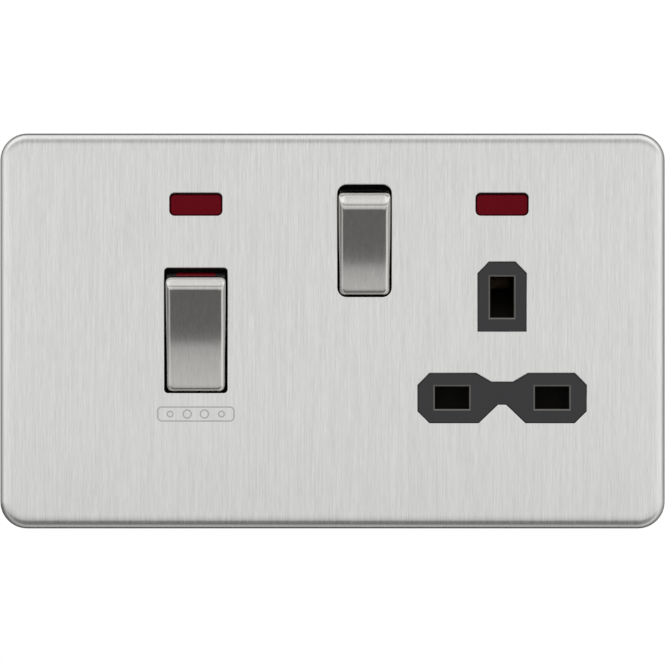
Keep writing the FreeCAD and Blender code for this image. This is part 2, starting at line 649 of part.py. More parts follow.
def supports():
    """The ribs that carry the strips: x, z, length along z, and the y of the strip's back."""
    long, short = SUPPORT_LENGTH, SUPPORT_LENGTH / 2
    earth_back = EARTH_BAR_Y + STRIP
    arm_middle = COOKER_Z + ARM_HALF + ARM_PAD
    ribs = [(terminal_x(pole), terminal_span(-1)[1] + long, long, STRIP_BACK) for pole in (LIVE, NEUTRAL)]
    ribs += [(arm_x(pole), arm_middle, long, STRIP_BACK) for pole in (LIVE, NEUTRAL)]
    ribs += [(SWITCH_X, SWITCH_Z - STRIP_WIDTH / 2, short, STRIP_BACK),
             (LIVE_PIN_X, EARTH_PIN_Z, long, STRIP_BACK),
             (LIVE_PIN_X, LINE_PIN_Z, short, STRIP_BACK), (NEUTRAL_PIN_X, LINE_PIN_Z, short, STRIP_BACK),
             (terminal_x(NEUTRAL) + STRIP_WIDTH / 2, arm_middle, short, STRIP_BACK)]
    ribs += [(SUPPLY_EARTH_X + TERMINAL_WIDTH / 2 + STRIP_WIDTH / 2, SWITCH_Z, long, earth_back),
             (SOCKET_X, EARTH_PIN_Z, short, earth_back), (EARTH_LEAF_X, EARTH_LEAF_Z, long, earth_back)]
    return ribs


def rear_housing():
    """The moulded box behind the frame, with the terminals' pockets and holes for their screws and cables."""
    outer = slab(HOUSING_WIDTH, HOUSING_HEIGHT, HOUSING_CORNER, 0, 0, PANEL_BACK, HOUSING_BACK)
    outer = outer.makeFillet(BACK_ROUND, edges_at(outer, HOUSING_BACK))
    corner = HOUSING_CORNER - HOUSING_WALL
    inner = slab(2 * HOUSING_INNER_X, 2 * HOUSING_INNER_Z, corner, 0, 0, PANEL_BACK - PAST, FLOOR_Y)
    columns = [rod(HOUSING_BOSS, (x, PILLAR_TOP, z), (x, FLOOR_Y + MERGE, z)) for x, z in pillar_places()]
    inside = slab(2 * (HOUSING_INNER_X + MERGE), 2 * (HOUSING_INNER_Z + MERGE), corner, 0, 0, PANEL_BACK,
                  FLOOR_Y + MERGE)
    columns = [column.common(inside) for column in columns]
    ribs = []
    for x, z, length, y in supports():
        ribs.append(box(x - SUPPORT / 2, x + SUPPORT / 2, y, FLOOR_Y + MERGE, z - length / 2, z + length / 2))
    body = join(carve(outer, inner), *columns, *ribs, *terminal_pockets())
    cuts = []
    for _, x, row in terminal_places():
        z = sum(terminal_span(row)) / 2
        cuts.append(rod(SCREW_ACCESS, (x, FLOOR_Y - PAST, z), (x, HOUSING_BACK + PAST, z)))
        cuts.append(rod(ENTRY, (x, BORE_Y, row * (HOUSING_INNER_Z - ENTRY_LIP)),
                        (x, BORE_Y, row * HOUSING_HEIGHT)))
    cuts.append(switch_well_notch())
    for x, z in pillar_places():
        cuts.append(rod(PILOT + SCREW_CLEAR, (x, PILLAR_TOP - PAST, z), (x, HOUSING_BACK, z)))
        cuts.append(rod(HOUSING_SCREW_HEAD + HEAD_CLEAR, (x, HOUSING_SCREW_SEAT, z),
                        (x, HOUSING_BACK + PAST, z)))
    return carve(body, *cuts)


def switch_well_notch():
    """The notch in the housing's edge that lets the socket switch's well through."""
    width, height = well_size(SWITCH_OPENING)
    return slab(width + 2 * WELL_WALL + 2 * OPENING_GAP, height + 2 * WELL_WALL + 2 * OPENING_GAP,
                SWITCH_OPENING[2], SWITCH_X, SWITCH_Z, PANEL_BACK - PAST, WELL_BACK + OPENING_GAP)


def terminal_pockets():
    """Ribs on both sides of each terminal, which keep it from turning."""
    ribs = []
    for _, x, row in terminal_places():
        low, high = terminal_span(row)
        low, high = (low - MERGE, high) if row < 0 else (low, high + MERGE)
        for edge in (-1, 1):
            near = x + edge * (TERMINAL_WIDTH / 2 + POCKET_GAP)
            x0, x1 = sorted((near, near + edge * POCKET))
            ribs.append(box(x0, x1, FLOOR_Y - POCKET_HEIGHT, FLOOR_Y + MERGE, low, high))
    return ribs


def contact_carrier():
    """The tray behind the shutter, with slots for the pins and for the shutter's ramp."""
    field, tail = carrier_area(PAD_BACK, CARRIER_BACK)
    body = join(field, tail)
    room = box(carrier_left() + CARRIER_WALL, carrier_right() - CARRIER_WALL, PAD_BACK - PAST, CARRIER_FRONT,
               carrier_low() - PAST, CARRIER_TOP - CARRIER_WALL)
    half = CARRIER_TAIL - CARRIER_TAIL_WALL
    channel = box(SOCKET_X - half, SOCKET_X + half, PAD_BACK - PAST, CARRIER_FRONT,
                  CARRIER_TAIL_END + CARRIER_WALL, carrier_low() + PAST)
    half = SHUTTER_STEM / 2 + STEM_GAP
    ramp_slot = box(SOCKET_X - half, SOCKET_X + half, CARRIER_FRONT - PAST, CARRIER_BACK + PAST,
                    ramp_foot() - SHUTTER_TRAVEL - STEM_GAP, CARRIER_TOP - 3 * CARRIER_WALL)
    holes = pin_holes(CARRIER_FRONT - PAST, CARRIER_BACK + PAST, plain_hole)[:2]
    body = carve(body, room, channel, ramp_slot, *holes)
    guides = []
    for edge in (-1, 1):
        near = SOCKET_X + edge * (SHUTTER_STEM / 2 + 2 * SHUTTER_GAP)
        x0, x1 = sorted((near, near + edge * CARRIER_WALL))
        guides.append(box(x0, x1, PAD_BACK, CARRIER_FRONT, blade_high() + CARRIER_WALL,
                          CARRIER_TOP - CARRIER_WALL))
    return join(body, *guides)


def ramp_foot():
    return EARTH_PIN_Z - EARTH_HOLE[1] / 2 - RAMP_FOOT


def shutter():
    """The slide that closes the line holes, with a ramp for the earth pin to push down."""
    half = LINE_HOLE[0] / 2 + SHUTTER_SIDE_LAP
    high = blade_high()
    blade = box(NEUTRAL_PIN_X - half, LIVE_PIN_X + half, SHUTTER_FRONT, SHUTTER_BACK, blade_low(), high)
    ramp_low = ramp_foot() + RAMP_FOOT
    ramp_high = ramp_low + SHUTTER_TRAVEL + RAMP_RISE
    outline = [(SHUTTER_FRONT, high - PAST), (SHUTTER_FRONT, ramp_low), (RAMP_BACK, ramp_high),
               (RAMP_BACK, ramp_low - RAMP_TOE), (SHUTTER_BACK, ramp_foot()), (SHUTTER_BACK, high - PAST)]
    stem = side(outline, SOCKET_X - SHUTTER_STEM / 2, SOCKET_X + SHUTTER_STEM / 2)
    corners = [edge for edge in blade.Edges if abs(edge.tangentAt(edge.FirstParameter).y) > 0.99]
    return join(blade.makeFillet(SHUTTER_CORNER, corners), stem)


def coil(radius, wire, start, end):
    """A compression spring's outer form: a sleeve as thick as its wire."""
    return carve(rod(radius, start, end), rod(radius - wire, start, end))


def shutter_spring():
    y = (SHUTTER_FRONT + SHUTTER_BACK) / 2
    foot = (SOCKET_X, y, CARRIER_TAIL_END + CARRIER_WALL)
    return coil(SHUTTER_SPRING, SPRING_WIRE, foot, (SOCKET_X, y, blade_low()))


def leaf_path(front, base):
    """Half of a pin contact's fold, from its lip to its base: depth, and distance from the pin's middle."""
    return [(front, LEAF_FLARE), (front + LEAF_LIP, LEAF_REACH), (base - LEAF_BEND, LEAF_SPREAD),
            (base, LEAF_SPREAD)]


def line_contact(x):
    """A folded spring leaf that grips a line pin above and below."""
    half = leaf_path(LINE_LEAF_FRONT, STRIP_FRONT - LEAF / 2)
    path = [(y, LINE_PIN_Z + z) for y, z in half] + [(y, LINE_PIN_Z - z) for y, z in reversed(half)]
    return side(folded(path, LEAF), x - LINE_LEAF_HALF, x + LINE_LEAF_HALF)


def earth_contact():
    """The same leaf for the earth pin, turned to grip it from both sides."""
    half = leaf_path(EARTH_LEAF_FRONT, EARTH_BAR_Y - LEAF / 2)
    path = [(SOCKET_X + x, y) for y, x in half] + [(SOCKET_X - x, y) for y, x in reversed(half)]
    return top(folded(path, LEAF), EARTH_PIN_Z - EARTH_LEAF_HALF, EARTH_PIN_Z + EARTH_LEAF_HALF)


def rocker_form(width, length, face, skirt, hollow, end_round, side_round):
    """A rocker's curved head, level, its pivot at the origin. Face and skirt are measured forward from it."""
    high = length / 2
    corners = [Vector(0, -skirt, high), Vector(0, -face, high), Vector(0, -face, -high),
               Vector(0, -skirt, -high)]
    dip = Vector(0, hollow - face, 0)
    edges = [Part.LineSegment(corners[0], corners[1]).toShape(),
             Part.Arc(corners[1], dip, corners[2]).toShape(),
             Part.LineSegment(corners[2], corners[3]).toShape(),
             Part.LineSegment(corners[3], corners[0]).toShape()]
    solid = Part.Face(Part.Wire(edges)).extrude(Vector(width, 0, 0))
    solid.translate(Vector(-width / 2, 0, 0))
    ends = [e for e in solid.Edges
            if all(abs(v.Y + face) < 1e-6 for v in e.Vertexes) and abs(e.tangentAt(0).x) > 0.99]
    solid = solid.makeFillet(min(end_round, 0.88 * (face - skirt)), ends)
    sides = []
    for edge in solid.Edges:
        first, last = edge.Vertexes[0], edge.Vertexes[-1]
        on_side = abs(first.X - last.X) < 1e-6 and abs(abs(first.X) - width / 2) < 1e-6
        if on_side and min(first.Y, last.Y) < -skirt - 1e-6:
            sides.append(edge)
    return solid.makeFillet(side_round, sides)


def rocker_cap(cap):
    """The drawn metal cap over the rocker's head."""
    width, length = cap
    outer = rocker_form(width, length, ROCKER_FACE, CAP_SKIRT, ROCKER_HOLLOW, ROCKER_END_ROUND,
                        ROCKER_SIDE_ROUND)
    wall = CAP_WALL
    inner = rocker_form(width - 2 * wall, length - 2 * wall, ROCKER_FACE - wall, CAP_SKIRT - PAST,
                        ROCKER_HOLLOW, ROCKER_END_ROUND - wall, ROCKER_SIDE_ROUND - wall)
    return carve(outer, inner)


def flag_outline(cap, out, into):
    """The red flag's (y, z) outline along the drafted end of the rocker: out and into its surface."""
    length = cap[1]
    slope = ROCKER_DRAFT / (CAP_SKIRT - ROCKER_BACK)
    front = FLAG_START - CAP_SKIRT
    back = front + FLAG[1]
    near = length / 2 + slope * (front + CAP_SKIRT)
    far = length / 2 + slope * (back + CAP_SKIRT)
    return [(front, near - into), (front, near + out), (back, far + out), (back, far - into)]


def rocker(cap, opening, plunger_xs, flagged):
    """The moulded rocker inside the cap, with its trunnions and the bushes of its plungers."""
    width, length = cap
    slack = CAP_WALL + CAP_GAP
    shoulder = CAP_SKIRT - CAP_GAP
    head = rocker_form(width - 2 * slack, length - 2 * slack, ROCKER_FACE - slack, shoulder - MERGE,
                       ROCKER_HOLLOW, ROCKER_END_ROUND - slack, ROCKER_SIDE_ROUND - slack)
    half, wide = length / 2, length / 2 + ROCKER_DRAFT
    skirt = side([(-shoulder, -half), (-ROCKER_BACK, -wide), (-ROCKER_BACK, wide), (-shoulder, half)],
                 -width / 2, width / 2)
    root, foot, hub_back = -ROCKER_BACK - ROOT, HUB + HUB_FLARE, TRUNNION + HUB_WALL
    hub = side([(root, -foot), (hub_back, -HUB), (hub_back, HUB), (root, foot)], -width / 2, width / 2)
    reach = well_size(opening)[0] / 2 + TRUNNION_REACH
    axle = rod(TRUNNION, (-reach, 0, 0), (reach, 0, 0))
    bore = PLUNGER + PLUNGER_GAP
    bushes = [rod(bore + PLUNGER_BUSH, (x, root, 0), (x, BUSH_REACH, 0)) for x in plunger_xs]
    body = join(head, skirt, hub, axle, *bushes)
    inner = width / 2 - ROCKER_SIDE
    hollow = [box(-inner, inner, ROCKER_FLOOR - shoulder, PAST, z0, z1)
              for z0, z1 in ((foot + ROOT, half - ROCKER_END), (ROCKER_END - half, -foot - ROOT))]
    bores = [rod(bore, (x, spring_seat(), 0), (x, BUSH_REACH + PAST, 0)) for x in plunger_xs]
    body = carve(body, *hollow, *bores)
    if flagged:
        flag_half = FLAG[0] / 2 + FLAG_GAP
        body = carve(body, side(flag_outline(cap, PAST, FLAG[2] + FLAG_GAP), -flag_half, flag_half))
    return body


def spring_seat():
    return PLUNGER_REACH - PLUNGER_LENGTH - SPRING_LENGTH


def plunger(x):
    """A stepped pin with a rounded nose."""
    back, front = PLUNGER_REACH - PLUNGER_LENGTH, PLUNGER_REACH - PLUNGER_TAPER
    shaft = rod(PLUNGER, (x, back, 0), (x, front, 0))
    taper = Part.makeCone(PLUNGER, PLUNGER_NOSE, PLUNGER_REACH - front, Vector(x, front, 0), Vector(0, 1, 0))
    return join(shaft, taper, ball(PLUNGER_NOSE, (x, PLUNGER_REACH, 0)))


def plunger_spring(x):
    end = (x, PLUNGER_REACH - PLUNGER_LENGTH - PLUNGER_TRAVEL - SPRING_SLACK / 2, 0)
    return coil(PLUNGER - SPRING_SLACK, SPRING_WIRE, (x, spring_seat(), 0), end)


def contact_arm():
    """A see-saw arm with a saddle that rides on the fulcrum, level, with its axis at the origin."""
    strip = slab(ARM_WIDTH, 2 * ARM_HALF, ARM_CORNER, 0, 0, -ARM_FACE, ARM_SHEET - ARM_FACE)
    hollow = FULCRUM + FULCRUM_GAP
    reach = hollow + SADDLE
    saddle = rod(reach, (-ARM_WIDTH / 2, 0, 0), (ARM_WIDTH / 2, 0, 0))
    saddle = saddle.common(box(-ARM_WIDTH, ARM_WIDTH, -ARM_FACE, -MERGE, -reach, reach))
    return carve(join(strip, saddle), rod(hollow, (-ARM_WIDTH, 0, 0), (ARM_WIDTH, 0, 0)))


def arm_tip():
    """The domed silver contact on the back of the arm's upper end."""
    back = ARM_SHEET - ARM_FACE
    flat = back + TIP_HEIGHT - TIP_DOME
    dome = ball(TIP_BALL, (0, TIP_BALL_Y, TIP_PLACE))
    column = rod(TIP, (0, back, TIP_PLACE), (0, flat + PAST, TIP_PLACE))
    return column.common(dome)


def fulcrum(x, z):
    """The rounded ridge that an arm rocks on, on a web that stands on its bracket."""
    half = ARM_WIDTH / 2 - FULCRUM_INSET
    ridge = rod(FULCRUM, (x - half, ARM_AXIS_Y, z), (x + half, ARM_AXIS_Y, z))
    web = box(x - half, x + half, ARM_AXIS_Y, STRIP_FRONT + STRIP / 2, z - FULCRUM / 2, z + FULCRUM / 2)
    return join(ridge, web)


def fixed_tips():
    """The flat silver contacts that the arms close on."""
    places = [(arm_x(LIVE), COOKER_Z), (arm_x(NEUTRAL), COOKER_Z), (SWITCH_X, SWITCH_Z)]
    rise = TIP_PLACE * math.cos(TILT)
    return Part.makeCompound([rod(TIP, (x, FIXED_TIP_Y, z + rise), (x, STRIP_FRONT, z + rise))
                              for x, z in places])


def arm_x(pole):
    return COOKER_X + pole * PLUNGER_PITCH / 2


def terminal_x(pole):
    return COOKER_X + pole * TERMINAL_SPREAD


def mirrored(points, pole):
    """The points as given for the neutral pole, or mirrored about the cooker switch for the live one."""
    return [(COOKER_X + pole * (x - COOKER_X), z) for x, z in points]


def supply_contact(pole):
    """The strip from a supply terminal down to the silver contact of its pole."""
    half = ARM_WIDTH / 2
    low_z, high_z = terminal_span(1)
    middle = (low_z + high_z) / 2
    tip_z = COOKER_Z + TIP_PLACE * math.cos(TILT) - ARM_PAD
    near, far = arm_x(NEUTRAL) - half, arm_x(NEUTRAL) + half
    out = terminal_x(NEUTRAL) + TERMINAL_WIDTH / 2 - STRIP_INSET
    z0, z1 = (low_z, middle - STRIP_SPLIT) if pole == LIVE else (middle + STRIP_SPLIT, high_z - STRIP_INSET)
    outline = [(near, tip_z), (near, z1), (out, z1), (out, z0), (far, z0), (far, tip_z)]
    return plan(mirrored(outline, pole), STRIP_FRONT, STRIP_BACK)


def strip_sides():
    """The left and right edges of a strip as wide as the neutral terminals."""
    half = TERMINAL_WIDTH / 2 - STRIP_INSET
    return terminal_x(NEUTRAL) - half, terminal_x(NEUTRAL) + half


def load_bracket(pole):
    """The strip from a load terminal up to the fulcrum of its pole's arm."""
    half = ARM_WIDTH / 2 - FULCRUM_INSET
    x = arm_x(NEUTRAL)
    left, right = strip_sides()
    high, low = COOKER_Z + BRACKET_TOP, terminal_span(-1)[0] + STRIP_INSET
    outline = [(x - half, high), (x + half, high), (right, COOKER_Z - BRACKET_OUTER), (right, low),
               (left, low), (left, COOKER_Z - BRACKET_INNER[1]), (x - half, COOKER_Z - BRACKET_INNER[0])]
    plate = plan(mirrored(outline, pole), STRIP_FRONT, STRIP_BACK)
    return join(plate, fulcrum(arm_x(pole), COOKER_Z))


def live_busbar():
    """The formed strip from the supply's live terminal across to the socket switch."""
    near = STRIP_FRONT + STRIP / 2
    start = terminal_x(LIVE) - TERMINAL_WIDTH / 2 + STRIP_INSET
    leave = terminal_x(LIVE) + TERMINAL_WIDTH / 2 - BUS_LAND
    arrive = SWITCH_X - ARM_WIDTH / 2 - BUS_LAND
    path = [(start, near), (leave, near), (leave + BUS_JOG, near - BUS_FORWARD),
            (arrive - BUS_JOG, near - BUS_FORWARD), (arrive, near), (SWITCH_X + ARM_WIDTH / 2, near)]
    middle = sum(terminal_span(1)) / 2 + STRIP_SPLIT
    return top(folded(path, STRIP), middle, middle + STRIP_WIDTH)


def socket_live_bracket():
    """The strip from the socket switch's fulcrum to the live pin's contact."""
    half = ARM_WIDTH / 2 - FULCRUM_INSET
    left, right, end = LIVE_PIN_X - PIN_PAD[0], LIVE_PIN_X + PIN_PAD[1], LINE_PIN_Z - PIN_PAD[2]
    high, upper, lower = SWITCH_Z + BRACKET_TOP, SWITCH_Z, SWITCH_Z - STRIP_WIDTH
    near, far = SWITCH_X - half, SWITCH_X + half
    outline = [(near, high), (far, high), (far, upper), (right, upper), (right, end), (left, end),
               (left, lower), (near, lower)]
    return join(plan(outline, STRIP_FRONT, STRIP_BACK), fulcrum(SWITCH_X, SWITCH_Z))


def neutral_busbar():
    """The strip from the supply's neutral terminal to the neutral pin's contact."""
    right = strip_sides()[1]
    near = right - STRIP_WIDTH
    left_pad, right_pad, end = NEUTRAL_PIN_X - PIN_PAD[0], NEUTRAL_PIN_X + PIN_PAD[1], LINE_PIN_Z - PIN_PAD[2]
    lower, upper = NEUTRAL_SPAN_Z, NEUTRAL_SPAN_Z + STRIP_WIDTH
    high = sum(terminal_span(1)) / 2 - STRIP_SPLIT
    outline = [(near, high), (right, high), (right, upper), (right_pad, upper), (right_pad, end),
               (left_pad, end), (left_pad, lower), (near, lower)]
    return plan(outline, STRIP_FRONT, STRIP_BACK)


def earth_bar():
    """The punched plate that joins the earth terminals, the earth pin's contact and the cover's spring."""
    supply = SUPPLY_EARTH_X + TERMINAL_WIDTH / 2
    load = LOAD_EARTH_X + TERMINAL_WIDTH / 2
    width = STRIP_WIDTH
    reach = SOCKET_X + LEAF_SPREAD + LEAF
    high, low = terminal_span(1)[1] - 2 * STRIP_INSET, terminal_span(-1)[0] + 2 * STRIP_INSET
    upper, lower = EARTH_PIN_Z + EARTH_LAND, EARTH_PIN_Z - EARTH_LAND
    outline = [(supply, high), (supply + width, high), (supply + width, upper), (reach, upper),
               (reach, lower), (load + width, lower), (load + width, low), (load, low), (load, lower + width),
               (supply, lower + width)]
    return plan(outline, EARTH_BAR_Y, EARTH_BAR_Y + STRIP)


def plate_earth_spring():
    """The spring leaf that runs forward from the earth bar and touches the back of the cover."""
    sheet = EARTH_LEAF_SHEET
    touch = COVER_BACK + LEAF_TOUCH + sheet / 2
    foot, low = EARTH_BAR_Y - sheet / 2, EARTH_LEAF_Z - EARTH_LEAF_DROP
    path = [(foot, EARTH_LEAF_Z - EARTH_LEAF_FOOT), (foot, EARTH_LEAF_Z),
            (touch + EARTH_LEAF_NECK, EARTH_LEAF_Z), (touch, low + EARTH_LEAF_TOE[1]),
            (touch + EARTH_LEAF_TOE[0], low)]
    return side(folded(path, sheet), EARTH_LEAF_X - EARTH_LEAF_WIDTH / 2, EARTH_LEAF_X + EARTH_LEAF_WIDTH / 2)


def cover_clips():
    """Four spring clips in the frame's edge, which bear on the inside of the cover's skirt."""
    skirt = PLATE_HEIGHT / 2 - PLATE_SHEET
    floor = skirt - FRAME_GAP - CLIP_NOTCH + CLIP_SHEET / 2 + CLIP_TOUCH
    crest = skirt - CLIP_SHEET / 2 - CLIP_TOUCH
    front, back = PANEL_FRONT + CLIP_START, -PLATE_OFF_WALL - CLIP_END
    path = [(back, floor), (front, floor), (front - CLIP_FOLD[0], floor + CLIP_FOLD[1]),
            ((front + back) / 2, crest), (back - CLIP_TAIL[0], floor + CLIP_TAIL[1])]
    clips = []
    for x, edge in clip_places():
        outline = folded([(y, edge * z) for y, z in path], CLIP_SHEET)
        clips.append(side(outline, x - CLIP_WIDTH / 2, x + CLIP_WIDTH / 2))
    return Part.makeCompound(clips)


def neon_lens(x):
    """The red window, stepped so that its flange lies behind the frame's panel."""
    window = slab(*LENS_WINDOW, x, NEON_Z - LENS_DROP, FACE_Y + LENS_RECESS, PANEL_BACK + MERGE)
    window = window.makeChamfer(LENS_CHAMFER, edges_at(window, FACE_Y + LENS_RECESS))
    flange = slab(LENS_FLANGE[0], LENS_FLANGE[1], NEON_OPENING[2], x, NEON_Z, PANEL_BACK,
                  PANEL_BACK + LENS_FLANGE[2])
    return join(window, flange)


def neon_lamp(x):
    """A small glass lamp that lies behind its window, drawn in to a pip at each end."""
    half = LAMP_LENGTH / 2 - LAMP_PIP
    tube = rod(LAMP, (x - half, LAMP_Y, NEON_Z), (x + half, LAMP_Y, NEON_Z))
    ends = [Part.makeCone(LAMP, LEAD + PIP_WALL, LAMP_PIP, Vector(x + edge * half, LAMP_Y, NEON_Z),
                          Vector(edge, 0, 0))
            for edge in (-1, 1)]
    return join(tube, *ends)


def lead(points):
    """A stiff lead through the points, round at its corners."""
    runs = [rod(LEAD, a, b) for a, b in zip(points, points[1:])]
    return join(runs[0], *runs[1:], *[ball(LEAD, p) for p in points[1:-1]])


def neon_wiring(x, live_end, neutral_end, side_of_live):
    """A window's resistor, and its leads from the lamp to the live and neutral strips."""
    out, high = LAMP_LENGTH / 2, NEON_Z - LEAD_DROP
    (live_x, live_z), (neutral_x, neutral_z) = live_end, neutral_end
    upper = (live_x, LEAD_Y, RESISTOR_Z + RESISTOR_LENGTH / 2)
    lower = (live_x, LEAD_Y, RESISTOR_Z - RESISTOR_LENGTH / 2)
    start = (x + side_of_live * out, LAMP_Y, NEON_Z)
    leads = [lead([start, (live_x, LAMP_Y, NEON_Z), (live_x, LEAD_Y, high), upper]),
             lead([lower, (live_x, LEAD_Y, live_z), (live_x, STRIP_FRONT, live_z)])]
    start = (x - side_of_live * out, LAMP_Y, NEON_Z)
    bend = (x - side_of_live * (LENS_FLANGE[0] / 2 + LEAD_OUT), LAMP_Y, NEON_Z)
    leads.append(lead([start, bend, (neutral_x, LEAD_Y, high), (neutral_x, LEAD_Y, neutral_z),
                       (neutral_x, STRIP_FRONT, neutral_z)]))
    return rod(RESISTOR, lower, upper), Part.makeCompound(leads)


def rocker_pieces(name, cap, opening, x, z, plungers, flagged):
    """One rocker with its cap and its sprung plungers, tilted to on."""
    pieces = {name + "_rocker_cap": rocker_cap(cap),
              name + "_rocker": rocker(cap, opening, [place for _, place in plungers], flagged)}
    for word, place in plungers:
        pieces[word + "_plunger"] = plunger(place)
        pieces[word + "_plunger_spring"] = plunger_spring(place)
    if flagged:
        pieces[name + "_on_flag"] = side(flag_outline(cap, FLAG_PROUD, FLAG[2]), -FLAG[0] / 2, FLAG[0] / 2)
    placed = {key: moved(piece, x, ROCKER_PIVOT, z) for key, piece in pieces.items()}
    return {key: turned(piece, ROCKER_TILT, ROCKER_PIVOT, z) for key, piece in placed.items()}


def arm_pieces(word, x, z):
    """A contact arm and its silver tip, tilted to closed."""
    pieces = {word + "_arm": contact_arm(), word + "_tip": arm_tip()}
    placed = {key: moved(piece, x, ARM_AXIS_Y, z) for key, piece in pieces.items()}
    return {key: turned(piece, -ROCKER_TILT, ARM_AXIS_Y, z) for key, piece in placed.items()}


def all_pieces():
    half_pitch = PLUNGER_PITCH / 2
    cooker_plungers = [("cooker_live", -half_pitch), ("cooker_neutral", half_pitch)]
    pieces = {
        "front_plate": front_plate(),
        "front_frame": front_frame(),
        "cover_clips": cover_clips(),
        "rear_housing": rear_housing(),
        "housing_screws": housing_screws(),
        "terminal_screws": terminal_screws(),
        "contact_carrier": contact_carrier(),
        "shutter": shutter(),
        "shutter_spring": shutter_spring(),
        "live_pin_contact": line_contact(LIVE_PIN_X),
        "neutral_pin_contact": line_contact(NEUTRAL_PIN_X),
        "earth_pin_contact": earth_contact(),
        "fixed_tips": fixed_tips(),
        "supply_live_contact": supply_contact(LIVE),
        "supply_neutral_contact": supply_contact(NEUTRAL),
        "load_live_bracket": load_bracket(LIVE),
        "load_neutral_bracket": load_bracket(NEUTRAL),
        "live_busbar": live_busbar(),
        "socket_live_bracket": socket_live_bracket(),
        "neutral_busbar": neutral_busbar(),
        "earth_bar": earth_bar(),
        "plate_earth_spring": plate_earth_spring(),
        "cooker_neon_lens": neon_lens(COOKER_X),
        "socket_neon_lens": neon_lens(SOCKET_X),
        "cooker_neon_lamp": neon_lamp(COOKER_X),
        "socket_neon_lamp": neon_lamp(SOCKET_X),
    }
    for name, x, row in terminal_places():
        pieces[name] = terminal_block(x, row)
    lead_x = LENS_FLANGE[0] / 2 + LEAD_OUT
    cooker_ends = [(COOKER_X + pole * lead_x, COOKER_LEAD_Z) for pole in (LIVE, NEUTRAL)]
    live_end = (LIVE_PIN_X + LIVE_LEAD_END[0], LIVE_LEAD_END[1])
    neutral_end = (NEUTRAL_PIN_X - NEUTRAL_LEAD_IN, NEUTRAL_SPAN_Z + STRIP_WIDTH / 2)
    wiring = {
        "cooker": neon_wiring(COOKER_X, *cooker_ends, LIVE),
        "socket": neon_wiring(SOCKET_X, live_end, neutral_end, -LIVE),
    }
    for word, (resistor, leads) in wiring.items():
        pieces[word + "_neon_resistor"] = resistor
        pieces[word + "_neon_leads"] = leads
    pieces.update(rocker_pieces("cooker", COOKER_CAP, COOKER_OPENING, COOKER_X, COOKER_Z, cooker_plungers,
                                True))
    pieces.update(rocker_pieces("socket", SWITCH_CAP, SWITCH_OPENING, SWITCH_X, SWITCH_Z, [("socket", 0.0)],
                                False))
    pieces.update(arm_pieces("cooker_live", arm_x(LIVE), COOKER_Z))
    pieces.update(arm_pieces("cooker_neutral", arm_x(NEUTRAL), COOKER_Z))
    pieces.update(arm_pieces("socket", SWITCH_X, SWITCH_Z))
    return pieces


os.makedirs("parts", exist_ok=True)
for node, piece in all_pieces().items():
    piece.exportStep("parts/" + node + ".step")
    print(node, len(piece.Solids), round(piece.Volume, 1), piece.isValid())
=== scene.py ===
import bpy
import bmesh
import math
import numpy as np
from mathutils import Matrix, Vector


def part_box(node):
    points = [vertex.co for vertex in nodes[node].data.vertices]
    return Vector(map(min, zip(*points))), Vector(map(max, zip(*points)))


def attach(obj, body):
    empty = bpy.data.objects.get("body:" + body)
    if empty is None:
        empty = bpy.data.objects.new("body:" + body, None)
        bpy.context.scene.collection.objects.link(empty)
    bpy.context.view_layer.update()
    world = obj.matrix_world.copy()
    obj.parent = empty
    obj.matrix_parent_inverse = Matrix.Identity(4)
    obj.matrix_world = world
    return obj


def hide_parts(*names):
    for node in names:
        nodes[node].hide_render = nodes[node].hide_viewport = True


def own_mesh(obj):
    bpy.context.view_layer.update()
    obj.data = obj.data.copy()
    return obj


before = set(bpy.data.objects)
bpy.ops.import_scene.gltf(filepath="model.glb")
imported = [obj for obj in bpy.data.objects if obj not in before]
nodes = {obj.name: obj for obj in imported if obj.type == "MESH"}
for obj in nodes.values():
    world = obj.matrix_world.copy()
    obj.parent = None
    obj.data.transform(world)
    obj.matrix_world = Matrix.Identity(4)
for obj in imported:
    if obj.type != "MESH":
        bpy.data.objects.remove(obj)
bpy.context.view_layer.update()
mm = 0.001
print("frame loaded:", len(nodes), "nodes")


# Light and camera, in metres

studio = {
    "cameraDistance": 1.0,
    "frameWidth": 147.45 * mm,  # what the picture's width takes in, at the cover's face
    "softboxSize": 0.9,
    "softboxPower": 11.0,
    "softboxPlace": (0.15, -0.9, 0.95),
    "worldLight": 0.42,  # what matt surfaces receive from all round
    "backdrop": 1.0,  # what the camera sees where the floor ends
    "floorLevel": -0.25,
    "floorSize": 3.0,
    "floorColour": (0.86, 0.86, 0.85),
    "floorRoughness": 0.8,
    "nearest": 0.01,  # where the camera starts to see
}

# What polished surfaces see. Each stop of front and sides is an elevation in degrees, from straight below
# to straight above, and the brightness there. Each stop of turns is a turn to either side, from straight
# ahead to straight behind, and what the brightness is multiplied by.
reflections = {
    "front": [(-90, 0.54), (-60, 0.52), (-42, 0.38), (-27, 0.17), (-14, 0.20), (-12, 0.26), (-11, 0.62),
              (-8, 0.74), (-3.5, 0.84), (-2.5, 1.0), (5, 1.0), (11, 0.55), (16, 0.66), (24, 1.14), (45, 1.2),
              (65, 1.05), (90, 0.95)],
    "sides": [(-90, 0.60), (-50, 0.62), (-20, 0.80), (-5, 0.88), (10, 1.0), (30, 1.15), (90, 1.0)],
    "turns": [(0, 0.895), (7, 0.895), (14, 1.2), (46, 1.2), (60, 0.85), (80, 0.64), (100, 0.48), (118, 0.26),
              (180, 0.20)],
    "blend": (15, 30),  # the turns between which sides takes over from front
    "lean": 0.6,  # how much brighter the right is than the middle, below the horizon
    "leanSteep": 5.0,  # how soon below the horizon that starts
    "leanMost": 1.05,  # the most that it multiplies the brightness by at the sides
}


